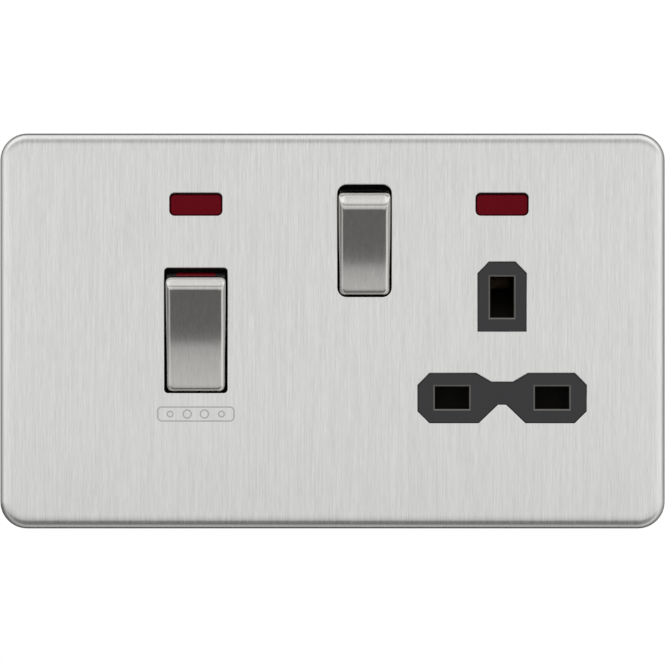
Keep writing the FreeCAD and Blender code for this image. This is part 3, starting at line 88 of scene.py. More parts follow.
def rampNode(tree, value, stops, scale):
    # a grey ramp over value, with its stops at scale(angle)
    node = tree.nodes.new("ShaderNodeValToRGB")
    ramp = node.color_ramp
    while len(ramp.elements) > 1:
        ramp.elements.remove(ramp.elements[-1])
    for angle, grey in stops:
        element = ramp.elements[0] if angle == stops[0][0] else ramp.elements.new(scale(angle))
        element.position = scale(angle)
        element.color = (grey, grey, grey, 1)
    tree.links.new(value, node.inputs[0])
    return node.outputs[0]


def mathNode(tree, operation, first, second=None):
    node = tree.nodes.new("ShaderNodeMath")
    node.operation = operation
    for socket, value in zip(node.inputs, (first, second)):
        if isinstance(value, (int, float)):
            socket.default_value = value
        elif value is not None:
            tree.links.new(value, socket)
    return node.outputs[0]


def backgroundNode(tree, brightness):
    node = tree.nodes.new("ShaderNodeBackground")
    node.inputs["Color"].default_value = (1, 1, 1, 1)
    if isinstance(brightness, float):
        node.inputs["Strength"].default_value = brightness
    else:
        tree.links.new(brightness, node.inputs["Strength"])
    return node.outputs[0]


def mixNode(tree, share, first, second):
    node = tree.nodes.new("ShaderNodeMixShader")
    for socket, source in zip(node.inputs, (share, first, second)):
        tree.links.new(source, socket)
    return node.outputs[0]


def reflectedBrightness(tree):
    coordinates = tree.nodes.new("ShaderNodeTexCoord")
    direction = tree.nodes.new("ShaderNodeSeparateXYZ")
    tree.links.new(coordinates.outputs["Generated"], direction.inputs[0])
    x, y, z = direction.outputs
    # elevation and turn run from 0 to 1 over half a circle
    fromBelow = mathNode(tree, "ADD", mathNode(tree, "ARCSINE", z), math.pi / 2)
    elevation = mathNode(tree, "DIVIDE", fromBelow, math.pi)
    square = mathNode(tree, "ADD", mathNode(tree, "MULTIPLY", x, x), mathNode(tree, "MULTIPLY", y, y))
    level = mathNode(tree, "MAXIMUM", mathNode(tree, "SQRT", square), 0.001)  # so that it can be divided by
    forward = mathNode(tree, "DIVIDE", mathNode(tree, "MULTIPLY", y, -1), level)
    turn = mathNode(tree, "DIVIDE", mathNode(tree, "ARCCOSINE", forward), math.pi)
    front, sides = [rampNode(tree, elevation, reflections[where], lambda angle: (angle + 90) / 180)
                    for where in ("front", "sides")]
    turned = rampNode(tree, turn, reflections["turns"], lambda angle: angle / 180)
    share = spread(tree, turn, 0, 1, *(angle / 180 for angle in reflections["blend"]))
    # below the horizon the studio is darker on the left and brighter on the right, by
    # 1 + lean x min(1, -leanSteep z), and by no more than leanMost at the sides
    depth = mathNode(tree, "MULTIPLY", z, -reflections["leanSteep"])
    below = mathNode(tree, "MINIMUM", mathNode(tree, "MAXIMUM", depth, 0), 1)
    slope = mathNode(tree, "MULTIPLY", mathNode(tree, "MULTIPLY", x, reflections["lean"]), below)
    lean = mathNode(tree, "ADD", slope, 1)
    front = mathNode(tree, "MULTIPLY", front, lean)
    sides = mathNode(tree, "MULTIPLY", sides, mathNode(tree, "MINIMUM", lean, reflections["leanMost"]))
    front = mathNode(tree, "MULTIPLY", front, mathNode(tree, "SUBTRACT", 1, share))
    sides = mathNode(tree, "MULTIPLY", sides, share)
    return mathNode(tree, "MULTIPLY", mathNode(tree, "ADD", front, sides), turned)


def makeWorld():
    world = bpy.data.worlds.new("studio")
    bpy.context.scene.world = world
    world.use_nodes = True
    world.cycles.sampling_method = "NONE"  # so that every ray sees the part of the studio meant for it
    tree = world.node_tree
    tree.nodes.clear()
    matt, polished, plain = [backgroundNode(tree, brightness) for brightness in
                             (studio["worldLight"], reflectedBrightness(tree), studio["backdrop"])]
    rays = tree.nodes.new("ShaderNodeLightPath")
    straight = mathNode(tree, "MAXIMUM", rays.outputs["Is Camera Ray"], rays.outputs["Is Transmission Ray"])
    bounced = mixNode(tree, rays.outputs["Is Glossy Ray"], matt, polished)
    output = tree.nodes.new("ShaderNodeOutputWorld")
    tree.links.new(mixNode(tree, straight, bounced, plain), output.inputs[0])


def makeStudio():
    bpy.context.scene.view_settings.view_transform = "Standard"
    low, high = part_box("front_plate")
    middle = (low + high) / 2
    camera = bpy.data.objects.new("camera", bpy.data.cameras.new("camera"))
    bpy.context.scene.collection.objects.link(camera)
    camera.location = (middle.x, low.y - studio["cameraDistance"], middle.z)
    camera.rotation_euler = (math.pi / 2, 0, 0)
    camera.data.lens = camera.data.sensor_width * studio["cameraDistance"] / studio["frameWidth"]
    camera.data.clip_start = studio["nearest"]
    bpy.context.scene.camera = camera
    lamp = bpy.data.objects.new("softbox", bpy.data.lights.new("softbox", "AREA"))
    lamp.data.size = studio["softboxSize"]
    lamp.data.energy = studio["softboxPower"]
    lamp.location = studio["softboxPlace"]
    lamp.rotation_euler = (-Vector(studio["softboxPlace"])).to_track_quat("-Z", "Y").to_euler()
    lamp.visible_glossy = False
    bpy.context.scene.collection.objects.link(lamp)
    half = studio["floorSize"] / 2
    corners = np.array([(-half, -half), (half, -half), (half, half), (-half, half)])
    mesh = bpy.data.meshes.new("floor")
    mesh.from_pydata(np.column_stack([corners, np.full(4, studio["floorLevel"])]), [], [(0, 1, 2, 3)])
    floor = bpy.data.objects.new("floor", mesh)
    bpy.context.scene.collection.objects.link(floor)
    mesh.materials.append(plainMaterial("floor", studio["floorColour"], studio["floorRoughness"]))
    floor.visible_glossy = False


# Materials. Each works on Object coordinates, in metres.

def startMaterial(name):
    material = bpy.data.materials.new(name)
    material.use_nodes = True
    tree = material.node_tree
    return material, tree, tree.nodes["Principled BSDF"]


def plainMaterial(name, colour, roughness):
    material, tree, shader = startMaterial(name)
    shader.inputs["Base Color"].default_value = (*colour, 1)
    shader.inputs["Roughness"].default_value = roughness
    return material


def noise(tree, stretch, detail, roughness=0.5):
    # noise with so many cells per metre along x, y and z
    coordinates = tree.nodes.new("ShaderNodeTexCoord")
    mapping = tree.nodes.new("ShaderNodeMapping")
    mapping.inputs["Scale"].default_value = stretch
    texture = tree.nodes.new("ShaderNodeTexNoise")
    texture.inputs["Scale"].default_value = 1.0
    texture.inputs["Detail"].default_value = detail
    texture.inputs["Roughness"].default_value = roughness
    tree.links.new(coordinates.outputs["Object"], mapping.inputs[0])
    tree.links.new(mapping.outputs[0], texture.inputs["Vector"])
    return texture.outputs["Fac"]


def spread(tree, value, low, high, fromLow=0.3, fromHigh=0.7):
    node = tree.nodes.new("ShaderNodeMapRange")
    tree.links.new(value, node.inputs["Value"])
    for name, number in (("From Min", fromLow), ("From Max", fromHigh), ("To Min", low), ("To Max", high)):
        node.inputs[name].default_value = number
    return node.outputs[0]


def tint(tree, value, dark, light):
    # a colour between dark and light
    node = tree.nodes.new("ShaderNodeMix")
    node.data_type = "RGBA"
    tree.links.new(value, node.inputs["Factor"])
    node.inputs["A"].default_value = (*dark, 1)
    node.inputs["B"].default_value = (*light, 1)
    return node.outputs["Result"]


def bump(tree, shader, height, depth, strength):
    node = tree.nodes.new("ShaderNodeBump")
    node.inputs["Strength"].default_value = strength
    node.inputs["Distance"].default_value = depth
    tree.links.new(height, node.inputs["Height"])
    tree.links.new(node.outputs[0], shader.inputs["Normal"])


def polish(tree, shader, value, roughness, least, most):
    # roughness times a number between least and most
    varied = spread(tree, value, roughness * least, min(1.0, roughness * most))
    tree.links.new(varied, shader.inputs["Roughness"])


def shades(colour, darker, lighter=1.0):
    # the colour times each of the two shares
    return [tuple(min(1.0, part * share) for part in colour) for share in (darker, lighter)]


brushing = {
    "fineStreaks": (7200, 7200, 300),  # cells per metre across and along the grain
    "longStreaks": (2700, 2700, 90),
    "fineShare": 0.6,
    "shadeSpan": (0.36, 0.64),  # what part of the streaks' noise runs from dark to light
    "polish": (0.85, 1.15),
    "lineDepth": 0.004 * mm,
    "lineStrength": 0.5,
}


def brushedMetal(name, colour, roughness, anisotropy, contrast):
    material, tree, shader = startMaterial(name)
    fine = noise(tree, brushing["fineStreaks"], detail=3, roughness=0.6)
    long = noise(tree, brushing["longStreaks"], detail=2)
    share = brushing["fineShare"]
    both = mathNode(tree, "ADD", mathNode(tree, "MULTIPLY", fine, share),
                    mathNode(tree, "MULTIPLY", long, 1 - share))
    shade = spread(tree, both, 0, 1, *brushing["shadeSpan"])
    dark, light = shades(colour, 1 - contrast, 1 + contrast)
    tree.links.new(tint(tree, shade, dark, light), shader.inputs["Base Color"])
    polish(tree, shader, both, roughness, *brushing["polish"])
    shader.inputs["Metallic"].default_value = 1.0
    shader.inputs["Anisotropic"].default_value = anisotropy
    tangent = tree.nodes.new("ShaderNodeTangent")
    tangent.direction_type = "RADIAL"
    tangent.axis = "Z"
    tree.links.new(tangent.outputs[0], shader.inputs["Tangent"])
    bump(tree, shader, fine, brushing["lineDepth"], brushing["lineStrength"])
    return material


plating = {
    "polish": (0.8, 1.25),
    "dents": 4,  # to each cell of the clouds
    "dentDepth": 0.01 * mm,
    "dentStrength": 0.3,
}


def metal(name, colour, roughness, mottle, cells):
    # plated, drawn or rolled metal with faint clouds in its polish
    material, tree, shader = startMaterial(name)
    cloud = noise(tree, (cells, cells, cells), detail=3)
    dark, light = shades(colour, 1 - mottle)
    tree.links.new(tint(tree, spread(tree, cloud, 0, 1), dark, light), shader.inputs["Base Color"])
    polish(tree, shader, cloud, roughness, *plating["polish"])
    shader.inputs["Metallic"].default_value = 1.0
    size = cells * plating["dents"]
    dents = noise(tree, (size, size, size), detail=2)
    bump(tree, shader, dents, plating["dentDepth"], plating["dentStrength"])
    return material


plastic = {
    "clouds": 300,  # cells per metre
    "cloudShade": 0.93,
    "grain": 6000,
    "grainDepth": 0.006 * mm,
    "grainStrength": 0.5,
    "polish": (0.9, 1.15),
}


def moulding(name, colour, roughness, shine=0.5):
    # moulded plastic with a fine spark-eroded grain
    material, tree, shader = startMaterial(name)
    clouds, grain = plastic["clouds"], plastic["grain"]
    cloud = noise(tree, (clouds, clouds, clouds), detail=3)
    dark, light = shades(colour, plastic["cloudShade"])
    tree.links.new(tint(tree, spread(tree, cloud, 0, 1), dark, light), shader.inputs["Base Color"])
    grit = noise(tree, (grain, grain, grain), detail=2, roughness=0.6)
    polish(tree, shader, grit, roughness, *plastic["polish"])
    shader.inputs["Specular IOR Level"].default_value = shine
    bump(tree, shader, grit, plastic["grainDepth"], plastic["grainStrength"])
    return material


window = {
    "ribs": (5200, 40, 40),  # cells per metre
    "ribShade": 0.86,
    "ribDepth": 0.01 * mm,
    "ribStrength": 0.3,
    "bending": 1.5,  # index of refraction
    "shine": 0.04,
    "clear": 0.08,
}


def clearPlastic(name, colour, roughness):
    # a tinted window with fine upright ribs moulded behind it
    material, tree, shader = startMaterial(name)
    rib = noise(tree, window["ribs"], detail=0)
    dark, light = shades(colour, window["ribShade"])
    tree.links.new(tint(tree, spread(tree, rib, 0, 1), dark, light), shader.inputs["Base Color"])
    shader.inputs["Roughness"].default_value = roughness
    shader.inputs["IOR"].default_value = window["bending"]
    shader.inputs["Specular IOR Level"].default_value = window["shine"]
    shader.inputs["Transmission Weight"].default_value = window["clear"]
    bump(tree, shader, rib, window["ribDepth"], window["ribStrength"])
    return material


bulb = {
    "colour": (0.93, 0.95, 0.94, 1),
    "smears": (500, 500, 500),  # cells per metre
    "roughness": (0.01, 0.05),
    "bending": 1.5,
    "clear": 0.9,
}


def glass(name):
    material, tree, shader = startMaterial(name)
    shader.inputs["Base Color"].default_value = bulb["colour"]
    smears = spread(tree, noise(tree, bulb["smears"], detail=2), *bulb["roughness"])
    tree.links.new(smears, shader.inputs["Roughness"])
    shader.inputs["Transmission Weight"].default_value = bulb["clear"]
    shader.inputs["IOR"].default_value = bulb["bending"]
    return material


def makeMaterials():
    return {
        "cover": brushedMetal("brushed cover", (0.672, 0.672, 0.662), 0.20, anisotropy=0.9, contrast=0.08),
        "cap": brushedMetal("brushed cap", (0.60, 0.59, 0.57), 0.11, anisotropy=0.9, contrast=0.07),
        "darkMoulding": moulding("dark moulding", (0.030, 0.030, 0.032), 0.55, shine=0.35),
        "blackMoulding": moulding("black moulding", (0.006, 0.005, 0.004), 0.6, shine=0.1),
        # a lighter grey laid on the hole bevels as a painted highlight
        "paintedHighlight": moulding("painted highlight moulding", (0.15, 0.14, 0.13), 0.4),
        "housing": moulding("housing moulding", (0.62, 0.62, 0.60), 0.5),
        "rocker": moulding("rocker moulding", (0.018, 0.018, 0.019), 0.45),
        "whiteMoulding": moulding("white moulding", (0.78, 0.78, 0.75), 0.4),
        "flag": moulding("red flag", (0.19, 0.004, 0.012), 0.45, shine=0.3),
        "lens": clearPlastic("red window", (0.134, 0.0, 0.0055), 0.22),
        "glass": glass("lamp glass"),
        "brass": metal("brass strip", (0.72, 0.53, 0.24), 0.28, mottle=0.10, cells=700),
        "brassBlock": metal("turned brass", (0.68, 0.50, 0.22), 0.22, mottle=0.08, cells=900),
        # brass darkened far below its own colour: painted shade for the contacts deep inside the holes
        "paintedShadeBrass": metal("brass with painted shade", (0.10, 0.07, 0.04), 0.45, mottle=0.2, cells=700),
        "spring": metal("spring steel", (0.52, 0.52, 0.53), 0.25, mottle=0.06, cells=1500),
        "silver": metal("silver", (0.86, 0.85, 0.83), 0.18, mottle=0.08, cells=1800),
        "zinc": metal("zinc plate", (0.64, 0.65, 0.66), 0.30, mottle=0.12, cells=1200),
        "tinned": metal("tinned wire", (0.68, 0.68, 0.69), 0.30, mottle=0.10, cells=2500),
        "resistor": moulding("resistor coat", (0.50, 0.36, 0.20), 0.35),
        "engraving": moulding("engraved mark", (0.42, 0.42, 0.41), 0.6),
    }


# Pieces made here, in the object's own frame. Each is a surface of whole arrays, from sizes in mm.

def linkPiece(name, mesh, material, body, replaced=None):
    mesh.materials.append(material)
    piece = bpy.data.objects.new(name, mesh)
    bpy.context.scene.collection.objects.link(piece)
    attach(piece, body)
    if replaced:
        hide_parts(replaced)
    return piece


weld, sliver = 1e-4 * mm, 1e-5 * mm  # points nearer than weld become one, and shorter edges than sliver go


def smoothMesh(name, bm, sharpAngle):
    # shades the mesh smooth, apart from edges sharper than sharpAngle degrees
    bmesh.ops.remove_doubles(bm, verts=bm.verts, dist=weld)
    bmesh.ops.dissolve_degenerate(bm, edges=bm.edges, dist=sliver)
    bmesh.ops.recalc_face_normals(bm, faces=bm.faces)
    mesh = bpy.data.meshes.new(name)
    bm.to_mesh(mesh)
    bm.free()
    mesh.polygons.foreach_set("use_smooth", np.ones(len(mesh.polygons), bool))
    mesh.set_sharp_from_angle(angle=math.radians(sharpAngle))
    return mesh


def holdFlats(piece):
    # big flat faces keep their own normal, and the rounded edges beside them take the bend
    weighted = piece.modifiers.new("flats", "WEIGHTED_NORMAL")
    weighted.keep_sharp = True
    weighted.weight = 100


def roundedLoop(width, height, radius, steps, between=0):
    # four corner arcs, centre + radius (cos a, sin a), anticlockwise as seen from the front, and some points
    # between them
    quarter = np.linspace(0, np.pi / 2, steps + 1)
    arcs = []
    for turn, (right, up) in enumerate([(1, 1), (-1, 1), (-1, -1), (1, -1)]):
        a = quarter + turn * np.pi / 2
        centre = np.array([right * (width / 2 - radius), up * (height / 2 - radius)])
        arcs.append(centre + radius * np.column_stack([np.cos(a), np.sin(a)]))
    share = np.linspace(0, 1, between + 2)[1:-1, None]
    runs = [arc[-1] + share * (following[0] - arc[-1])
            for arc, following in zip(arcs, arcs[1:] + arcs[:1])]
    return np.vstack([part for pair in zip(arcs, runs) for part in pair])


def loopNormals(loop):
    # at each point, the outward normal n of its two edges' normals a and b: n = (a + b) / (1 + a.b)
    ahead = np.roll(loop, -1, axis=0) - loop
    ahead /= np.linalg.norm(ahead, axis=1)[:, None]
    after = np.column_stack([ahead[:, 1], -ahead[:, 0]])
    before = np.roll(after, 1, axis=0)
    return (after + before) / (1 + np.sum(after * before, axis=1))[:, None]


def ringFaces(rings, count, closed):
    # quads between each ring of count points and the next
    ring = np.arange(rings if closed else rings - 1)[:, None]
    i = np.arange(count)[None, :]
    j = (i + 1) % count
    here, following = ring * count, (ring + 1) % rings * count
    return np.stack([here + i, here + j, following + j, following + i], axis=-1).reshape(-1, 4)


def addRings(bm, rings, closed=False):
    # puts an array of rings (ring, point, xyz) into bm, and gives back the vertices ring by ring
    count = rings.shape[1]
    vertices = [bm.verts.new(point) for point in rings.reshape(-1, 3)]
    for face in ringFaces(len(rings), count, closed):
        bm.faces.new([vertices[k] for k in face])
    return [vertices[k * count:(k + 1) * count] for k in range(len(rings))]


def fillBetween(bm, loops):
    # a flat face bounded by the first loop, with the others as holes
    edges = []
    for loop in loops:
        for a, b in zip(loop, loop[1:] + loop[:1]):
            edges.append(bm.edges.get((a, b)) or bm.edges.new((a, b)))
    bmesh.ops.triangle_fill(bm, edges=edges, use_beauty=True, normal=(0, -1, 0))


cover = {
    "size": (147.5, 87.7),
    "corner": 6.0,
    "face": -5.0,  # y of the front
    "sheet": 1.0,
    "crown": 3.2,  # how far in from the side the face starts to fall away
    "roll": 1.1,  # how far in from the side the rolled edge starts
    "crownSlope": 10.0,  # degrees, where the crown meets the rolled edge
    "back": -0.4,
    "rim": 0.12,  # how far the sheet's cut edge bulges
    "punch": 0.22,  # rounding that the punch leaves round each opening
    "openings": [  # x, z, width, height, corner radius
        (-30.3, 0.1, 14.0, 27.7, 0.8),
        (7.1, 20.0, 12.0, 24.9, 2.0),
        (-30.3, 28.1, 11.7, 5.0, 1.1),
        (37.6, 28.1, 11.7, 5.0, 1.1),
    ],
    "earthPad": (37.6, 7.6, 10.8, 15.4, 2.5),  # x, z, width, height, chamfer of the upper corners
    "linePad": (37.6, -14.9, 37.4, 11.0, 2.6),
    # the notch above and the one below: depth, width of the floor, width of the mouth
    "notches": ((1.95, 4.8, 11.5), (4.1, 1.85, 10.4)),
    "points": {"corner": 12, "openingCorner": 6, "crown": 9, "roll": 13, "rim": 9, "punch": 6},
    "sharp": 40,  # degrees
}


def coverOutlines():
    steps = cover["points"]["openingCorner"]
    outlines = [roundedLoop(w, h, r, steps) + (x, z) for x, z, w, h, r in cover["openings"]]
    x, z, width, height, chamfer = cover["earthPad"]
    u, v = width / 2, height / 2
    right = np.array([(u, -v), (u, v - chamfer), (u - chamfer, v)])
    outlines.append(np.vstack([right, right[::-1] * (-1, 1)]) + (x, z))
    x, z, width, height, chamfer = cover["linePad"]
    u, v = width / 2, height / 2
    (deep, floor, mouth), (lowDeep, lowFloor, lowMouth) = cover["notches"]
    right = np.array([(lowFloor / 2, lowDeep - v), (lowMouth / 2, -v), (u - chamfer, -v), (u, chamfer - v),
                      (u, v - chamfer), (u - chamfer, v), (mouth / 2, v), (floor / 2, v - deep)])
    outlines.append(np.vstack([right, right[::-1] * (-1, 1)]) + (x, z))
    return outlines


def coverEdge():
    # Inset d and depth y along the cover's edge. The crown's slope is e = top ((C - d) / (C - R))^2, so its
    # depth is the sum of tan e. The roll goes on from e = top to a quarter turn with the radius
    # r = R / (1 - sin top): d = r (1 - sin e), y = y0 + r (cos top - cos e).
    points = cover["points"]
    crown, roll, top = cover["crown"], cover["roll"], math.radians(cover["crownSlope"])
    d = np.linspace(crown, roll, points["crown"])
    slope = np.tan(top * ((crown - d) / (crown - roll)) ** 2)
    y = np.concatenate([[0], np.cumsum((slope[1:] + slope[:-1]) / 2 * -np.diff(d))])
    e = np.linspace(top, np.pi / 2, points["roll"])[1:]
    radius = roll / (1 - math.sin(top))
    rolled = [radius * (1 - np.sin(e)), y[-1] + radius * (math.cos(top) - np.cos(e))]
    return np.vstack([np.column_stack([d, y]), np.column_stack(rolled)])


def upright(loop, y):
    # the loop's points (x, z) at the depth y, which is one for all or one for each
    return np.column_stack([loop[:, 0], np.full(len(loop), y), loop[:, 1]])


def makeCover(material):
    # The formed cover: rings of a rounded rectangle, drawn in by the edge's inset, for the face and its edge,
    # then a half ellipse for the rim, and the edge again, drawn in by the sheet, for the inside.
    points = cover["points"]
    width, height = cover["size"]
    front, sheet, rim, punch = cover["face"], cover["sheet"], cover["rim"], cover["punch"]
    outside = coverEdge() + (0, front)
    inset, depth = outside.T
    inside = np.column_stack([sheet + inset * (1 - sheet / cover["crown"]), depth + sheet])
    turn = np.linspace(0, np.pi, points["rim"])
    edge = np.column_stack([sheet / 2 - sheet / 2 * np.cos(turn), cover["back"] - rim + rim * np.sin(turn)])
    rings = []
    for inset, y in np.vstack([outside, edge, inside[::-1]]):
        corner = cover["corner"] - inset
        rings.append(upright(roundedLoop(width - 2 * inset, height - 2 * inset, corner, points["corner"]), y))
    bm = bmesh.new()
    shell = addRings(bm, np.array(rings) * mm)
    fronts, backs = [shell[0]], [shell[-1]]
    # Round each opening, with a from 0 to a quarter turn, the outline is moved out by punch (1 - sin a) at
    # the depth front + punch (1 - cos a), and then goes straight to the back of the sheet.
    a = np.linspace(0, np.pi / 2, points["punch"])
    rounded = np.column_stack([punch * (1 - np.sin(a)), front + punch * (1 - np.cos(a))])
    wall = np.vstack([rounded, [(0, front + sheet)]])
    for outline in coverOutlines():
        normals = loopNormals(outline)
        hole = addRings(bm, np.array([upright(outline + out * normals, y) for out, y in wall]) * mm)
        fronts.append(hole[0])
        backs.append(hole[-1])
    fillBetween(bm, fronts)
    fillBetween(bm, backs)
    mesh = smoothMesh("cover_shell", bm, cover["sharp"])
    holdFlats(linkPiece("cover_shell", mesh, material, "cover", "front_plate"))


rockers = {
    "pivot": 0.6,  # y of both rockers' axes
    "tilt": 6.5,  # degrees
    # place is the axis, and along is how far up the rocker the cap's middle lies. endRounds are the radii of
    # its upper and lower end, and hollow is the depth of the curve along the face. lean is how many degrees
    # the face tips forward more than the rocker does, and rim is the way from the axis to the cap's edge.
    "cooker": {"place": (-30.3, 0.1), "size": (13.2, 25.6), "along": -0.13, "endRounds": (2.9, 1.0),
               "hollow": 0.6, "lean": 0.0, "rim": 4.0},
    "socket": {"place": (7.1, 20.0), "size": (11.4, 23.1), "along": 0.05, "endRounds": (4.0, 1.0),
               "hollow": 0.45, "lean": 1.5, "rim": 3.1},
    "face": 7.2,  # from the axis to the ends of the face
    "sideRound": 1.1,
    "corner": 1.3,
    "cornerLoss": 0.35,  # the share of the corner's radius that is gone where the face starts
    "wall": 0.6,
    "points": {"corner": 7, "side": 18, "round": 10, "face": 12},
    "sharp": 40,  # degrees
}


def turnedRocker(points, place):
    # x as it is; y' = y cos t - z sin t, z' = y sin t + z cos t about the axis, then moved to its place
    t = math.radians(rockers["tilt"])
    x, y, z = points[..., 0], points[..., 1], points[..., 2]
    return np.stack([x + place[0], y * math.cos(t) - z * math.sin(t) + rockers["pivot"],
                     y * math.sin(t) + z * math.cos(t) + place[1]], axis=-1) * mm


def capRings(facts, thinner):
    # Rings from the rim to the middle, as far inside the cap as thinner says. The face is
    # y = -face + hollow (1 - (z / half)^2) - lean z. Round it, with a from 0 to a quarter turn, the ring
    # comes in by r (1 - cos a) and lies r (1 - sin a) behind the face. r is the end's radius along z and the
    # side's along x, mixed round the corners by the squares of the outline's normal.
    points = rockers["points"]
    width, length = (size - 2 * thinner for size in facts["size"])
    upper, lower = (radius - thinner for radius in facts["endRounds"])
    face, corner = rockers["face"] - thinner, rockers["corner"] - thinner
    sideRound, loss = rockers["sideRound"] - thinner, rockers["cornerLoss"]
    hollow, lean, half = facts["hollow"], math.tan(math.radians(facts["lean"])), length / 2
    full = roundedLoop(width, length, corner, points["corner"], points["side"])
    normals = loopNormals(full)
    alongEnd = (normals[:, 1] / np.linalg.norm(normals, axis=1)) ** 2
    endRound = np.where(full[:, 1] > 0, upper, lower)
    rings = [upright(full, -facts["rim"])]
    for a in np.linspace(0, np.pi / 2, points["round"]):
        side, ends = sideRound * (1 - math.cos(a)), (upper + lower) * (1 - math.cos(a))
        smaller = corner * (1 - loss * side / sideRound)
        loop = roundedLoop(width - 2 * side, length - ends, smaller, points["corner"], points["side"])
        loop = loop + (0, (lower - upper) / 2 * (1 - math.cos(a)))
        drop = (alongEnd * endRound + (1 - alongEnd) * sideRound) * (1 - math.sin(a))
        y = drop - face + hollow * (1 - (loop[:, 1] / half) ** 2) - lean * loop[:, 1]
        rings.append(upright(loop, y))
    reach = half - max(upper, lower) - (width / 2 - sideRound)
    middle = np.column_stack([np.zeros(len(loop)), np.clip(loop[:, 1], -reach, reach)])
    for share in np.linspace(0, 1, points["face"])[1:]:
        inner = loop + share * (middle - loop)
        rings.append(upright(inner, hollow * (1 - (inner[:, 1] / half) ** 2) - face - lean * inner[:, 1]))
    return np.array(rings)


def makeCap(name, material):
    facts = rockers[name]
    outer, inner = capRings(facts, 0), capRings(facts, rockers["wall"])
    bm = bmesh.new()
    rings = np.concatenate([outer[::-1], inner]) + (0, 0, facts["along"])
    addRings(bm, turnedRocker(rings, facts["place"]))
    mesh = smoothMesh(name + "_cap_shell", bm, rockers["sharp"])
    linkPiece(name + "_cap_shell", mesh, material, name + "_rocker", name + "_rocker_cap")


springs = {
    "wire": 0.19,  # radius
    "slack": 0.02,  # between a coil and the piece that squeezes it
    # seat and shoulder are where a plunger's coil starts and ends, in y from the rocker's axis
    "plunger": {"radius": 1.29, "seat": -1.81, "shoulder": 2.5, "turns": 5.0},
    "plungerPlaces": {"cooker_live": (-33.6, 0.1), "cooker_neutral": (-27.0, 0.1), "socket": (7.1, 20.0)},
    "shutter": {"radius": 1.05, "turns": 9.0},
    "closedTurns": 0.5,  # at each end
    "pitch": 0.86,  # the share of the rise that the open coils have to themselves
    "points": {"turn": 28, "wire": 10},
    "sharp": 50,  # degrees
}


def springRings(radius, wire, turns, start, end):
    # Centre line: start + f (end - start) + radius (cos p x + sin p v), with p = 2 pi turns t and v square to
    # the axis and to x. f = pitch c + (1 - pitch) t, where c is 0 and 1 in the closed turns at the ends and
    # rises evenly between them. Round the line runs the wire: + wire (cos q n + sin q b).
    points, pitch = springs["points"], springs["pitch"]
    t = np.linspace(0, 1, int(turns * points["turn"]) + 1)
    closed = springs["closedTurns"] / turns
    f = np.clip((t - closed) / (1 - 2 * closed), 0, 1) * pitch + (1 - pitch) * t
    axis = end - start
    sideways = np.array([1.0, 0.0, 0.0])
    v = np.cross(axis / np.linalg.norm(axis), sideways)
    p = 2 * np.pi * turns * t
    n = np.cos(p)[:, None] * sideways + np.sin(p)[:, None] * v
    line = start + f[:, None] * axis + radius * n
    along = np.gradient(line, axis=0)
    along /= np.linalg.norm(along, axis=1)[:, None]
    b = np.cross(along, n)
    q = np.linspace(0, 2 * np.pi, points["wire"], endpoint=False)[None, :, None]
    return line[:, None, :] + wire * (np.cos(q) * n[:, None, :] + np.sin(q) * b[:, None, :])


def makeCoil(name, rings, material, body, replaced):
    bm = bmesh.new()
    vertices = addRings(bm, rings)
    bm.faces.new(vertices[0][::-1])
    bm.faces.new(vertices[-1])
    return linkPiece(name, smoothMesh(name, bm, springs["sharp"]), material, body, replaced)


def squeeze(coil):
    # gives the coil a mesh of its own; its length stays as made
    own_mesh(coil)


def makeSprings(material):
    wire, slack = springs["wire"], springs["slack"]
    facts = springs["plunger"]
    seat, shoulder = facts["seat"], facts["shoulder"]
    for word, place in springs["plungerPlaces"].items():
        start, end = np.array([0.0, seat + wire, 0.0]), np.array([0.0, shoulder - slack - wire, 0.0])
        rings = turnedRocker(springRings(facts["radius"], wire, facts["turns"], start, end), place)
        body = "socket_rocker" if word == "socket" else "cooker_rocker"
        coil = makeCoil(word + "_plunger_coil", rings, material, body, word + "_plunger_spring")
        foot = turnedRocker(np.array([0.0, seat, 0.0]), place)
        squeeze(coil)
    facts = springs["shutter"]
    low, high = (np.array(corner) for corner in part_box("shutter_spring"))
    foot, start, end = [(low + high) / 2 for _ in range(3)]
    foot[2], start[2], end[2] = low[2], low[2] + wire * mm, high[2] - (slack + wire) * mm
    rings = springRings(facts["radius"] * mm, wire * mm, facts["turns"], start, end)
    coil = makeCoil("shutter_coil", rings, material, "base", "shutter_spring")
    squeeze(coil)


hobMark = {
    "place": (-30.3, -18.4),
    "size": (16.9, 3.1),
    "corner": 0.9,
    "rings": (-5.7, -1.9, 1.9, 5.7),  # x of each ring, from the middle
    "ringRadii": (0.62, 0.9, 0.9, 0.62),
    "line": (0.3, 0.03),  # width and height of a line
    "sunk": 0.005,  # how deep a line's foot sits in the cover
    "points": {"corner": 6, "ring": 40, "across": 7},
    "sharp": 80,  # degrees
}


def makeHobMark(material):
    # Raised lines with a round top: along each loop, offset (width / 2) cos b sideways and height sin b
    # forward, with b from 0 to a half turn.
    points, place = hobMark["points"], hobMark["place"]
    width, height = hobMark["line"]
    foot = cover["face"] + hobMark["sunk"]
    loops = [roundedLoop(*hobMark["size"], hobMark["corner"], points["corner"])]
    angle = np.linspace(0, 2 * np.pi, points["ring"], endpoint=False)
    for along, radius in zip(hobMark["rings"], hobMark["ringRadii"]):
        loops.append(np.column_stack([along + radius * np.cos(angle), radius * np.sin(angle)]))
    bm = bmesh.new()
    for loop in loops:
        normals = loopNormals(loop)
        rings = [upright(loop + normals * (width / 2 * math.cos(b)) + place, foot - height * math.sin(b))
                 for b in np.linspace(0, np.pi, points["across"])]
        addRings(bm, np.array(rings) * mm)
    linkPiece("hob_mark", smoothMesh("hob_mark", bm, hobMark["sharp"]), material, "cover")


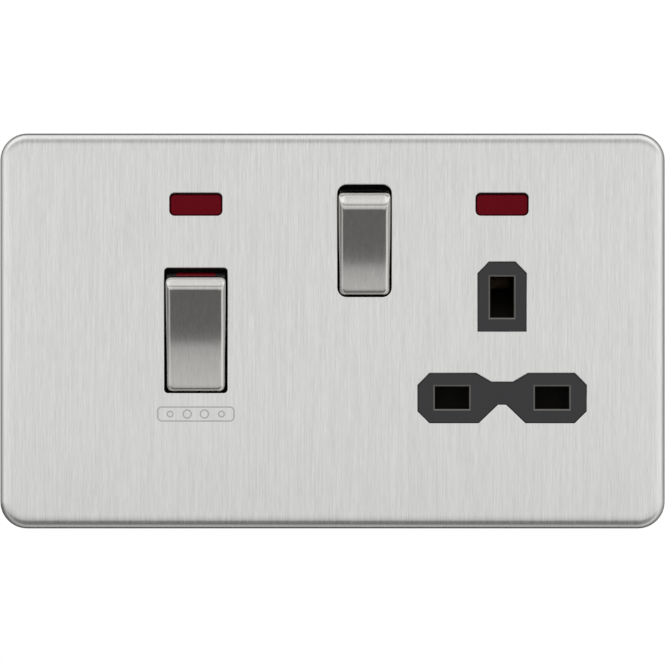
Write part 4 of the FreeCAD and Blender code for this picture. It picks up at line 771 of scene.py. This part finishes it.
pinMouths = {
    "face": -5.0,  # y of the pads
    "holes": [  # x, z, width, height
        (37.6, 7.5, 5.4, 9.2),
        (26.5, -14.8, 7.7, 5.1),
        (48.7, -14.8, 7.7, 5.1),
    ],
    "bevel": 0.3,
    "skin": 0.02,  # how far the lighter band, a painted highlight on the bevel, stands out of the bevel, and twice as far goes into it
    "sharp": 30,  # degrees
}


def makePinMouths(material):
    # A lighter band on each hole's bevel: a painted highlight for the bevel catching light. Across the
    # bevel from (bevel, 0) to (0, bevel), out and in, the section is that line moved by skin (-1, -1) and
    # by 2 skin (1, 1).
    skin, bevel = pinMouths["skin"], pinMouths["bevel"]
    line = np.array([(bevel, 0.0), (0.0, bevel)])
    section = np.vstack([line - skin, line[::-1] + 2 * skin])
    corners = np.array([(1, 1), (-1, 1), (-1, -1), (1, -1)])
    bm = bmesh.new()
    for x, z, width, height in pinMouths["holes"]:
        rings = [upright(corners * (width / 2 + out, height / 2 + out) + (x, z), pinMouths["face"] + back)
                 for out, back in section]
        addRings(bm, np.array(rings) * mm, closed=True)
    mesh = smoothMesh("pin_mouths", bm, pinMouths["sharp"])
    linkPiece("pin_mouths", mesh, material, "base")


# Which finish each node has, by a word in its name. The first that fits counts, and all others are brass.
finishes = [
    ("front_plate", "cover"), ("rocker_cap", "cap"), ("front_frame", "darkMoulding"), ("on_flag", "flag"),
    ("contact_carrier", "blackMoulding"), ("shutter_spring", "spring"), ("shutter", "blackMoulding"),
    # the pin contacts and the earth bar take the brass with painted shade
    ("pin_contact", "paintedShadeBrass"), ("earth_bar", "paintedShadeBrass"), ("neon_lens", "lens"), ("neon_lamp", "glass"),
    ("neon_resistor", "resistor"), ("neon_leads", "tinned"), ("rear_housing", "housing"),
    ("housing_screws", "zinc"), ("terminal", "brassBlock"), ("plunger_spring", "spring"),
    ("plunger", "whiteMoulding"), ("earth_spring", "spring"), ("cover_clips", "spring"), ("tip", "silver"),
    ("rocker", "rocker"),
]


def dressNodes(materials):
    for name, node in nodes.items():
        finish = next((kind for part, kind in finishes if part in name), "brass")
        node.data.materials.clear()
        node.data.materials.append(materials[finish])


materials = makeMaterials()
makeWorld()
makeStudio()
print("studio and materials made")
dressNodes(materials)
print("nodes dressed")
makeCover(materials["cover"])
print("cover made")
makeCap("cooker", materials["cap"])
makeCap("socket", materials["cap"])
print("caps made")
makeSprings(materials["spring"])
print("springs made")
makeHobMark(materials["engraving"])
# the pin mouths carry a painted highlight on the hole bevels
makePinMouths(materials["paintedHighlight"])
print("mark and painted bevel highlights made")
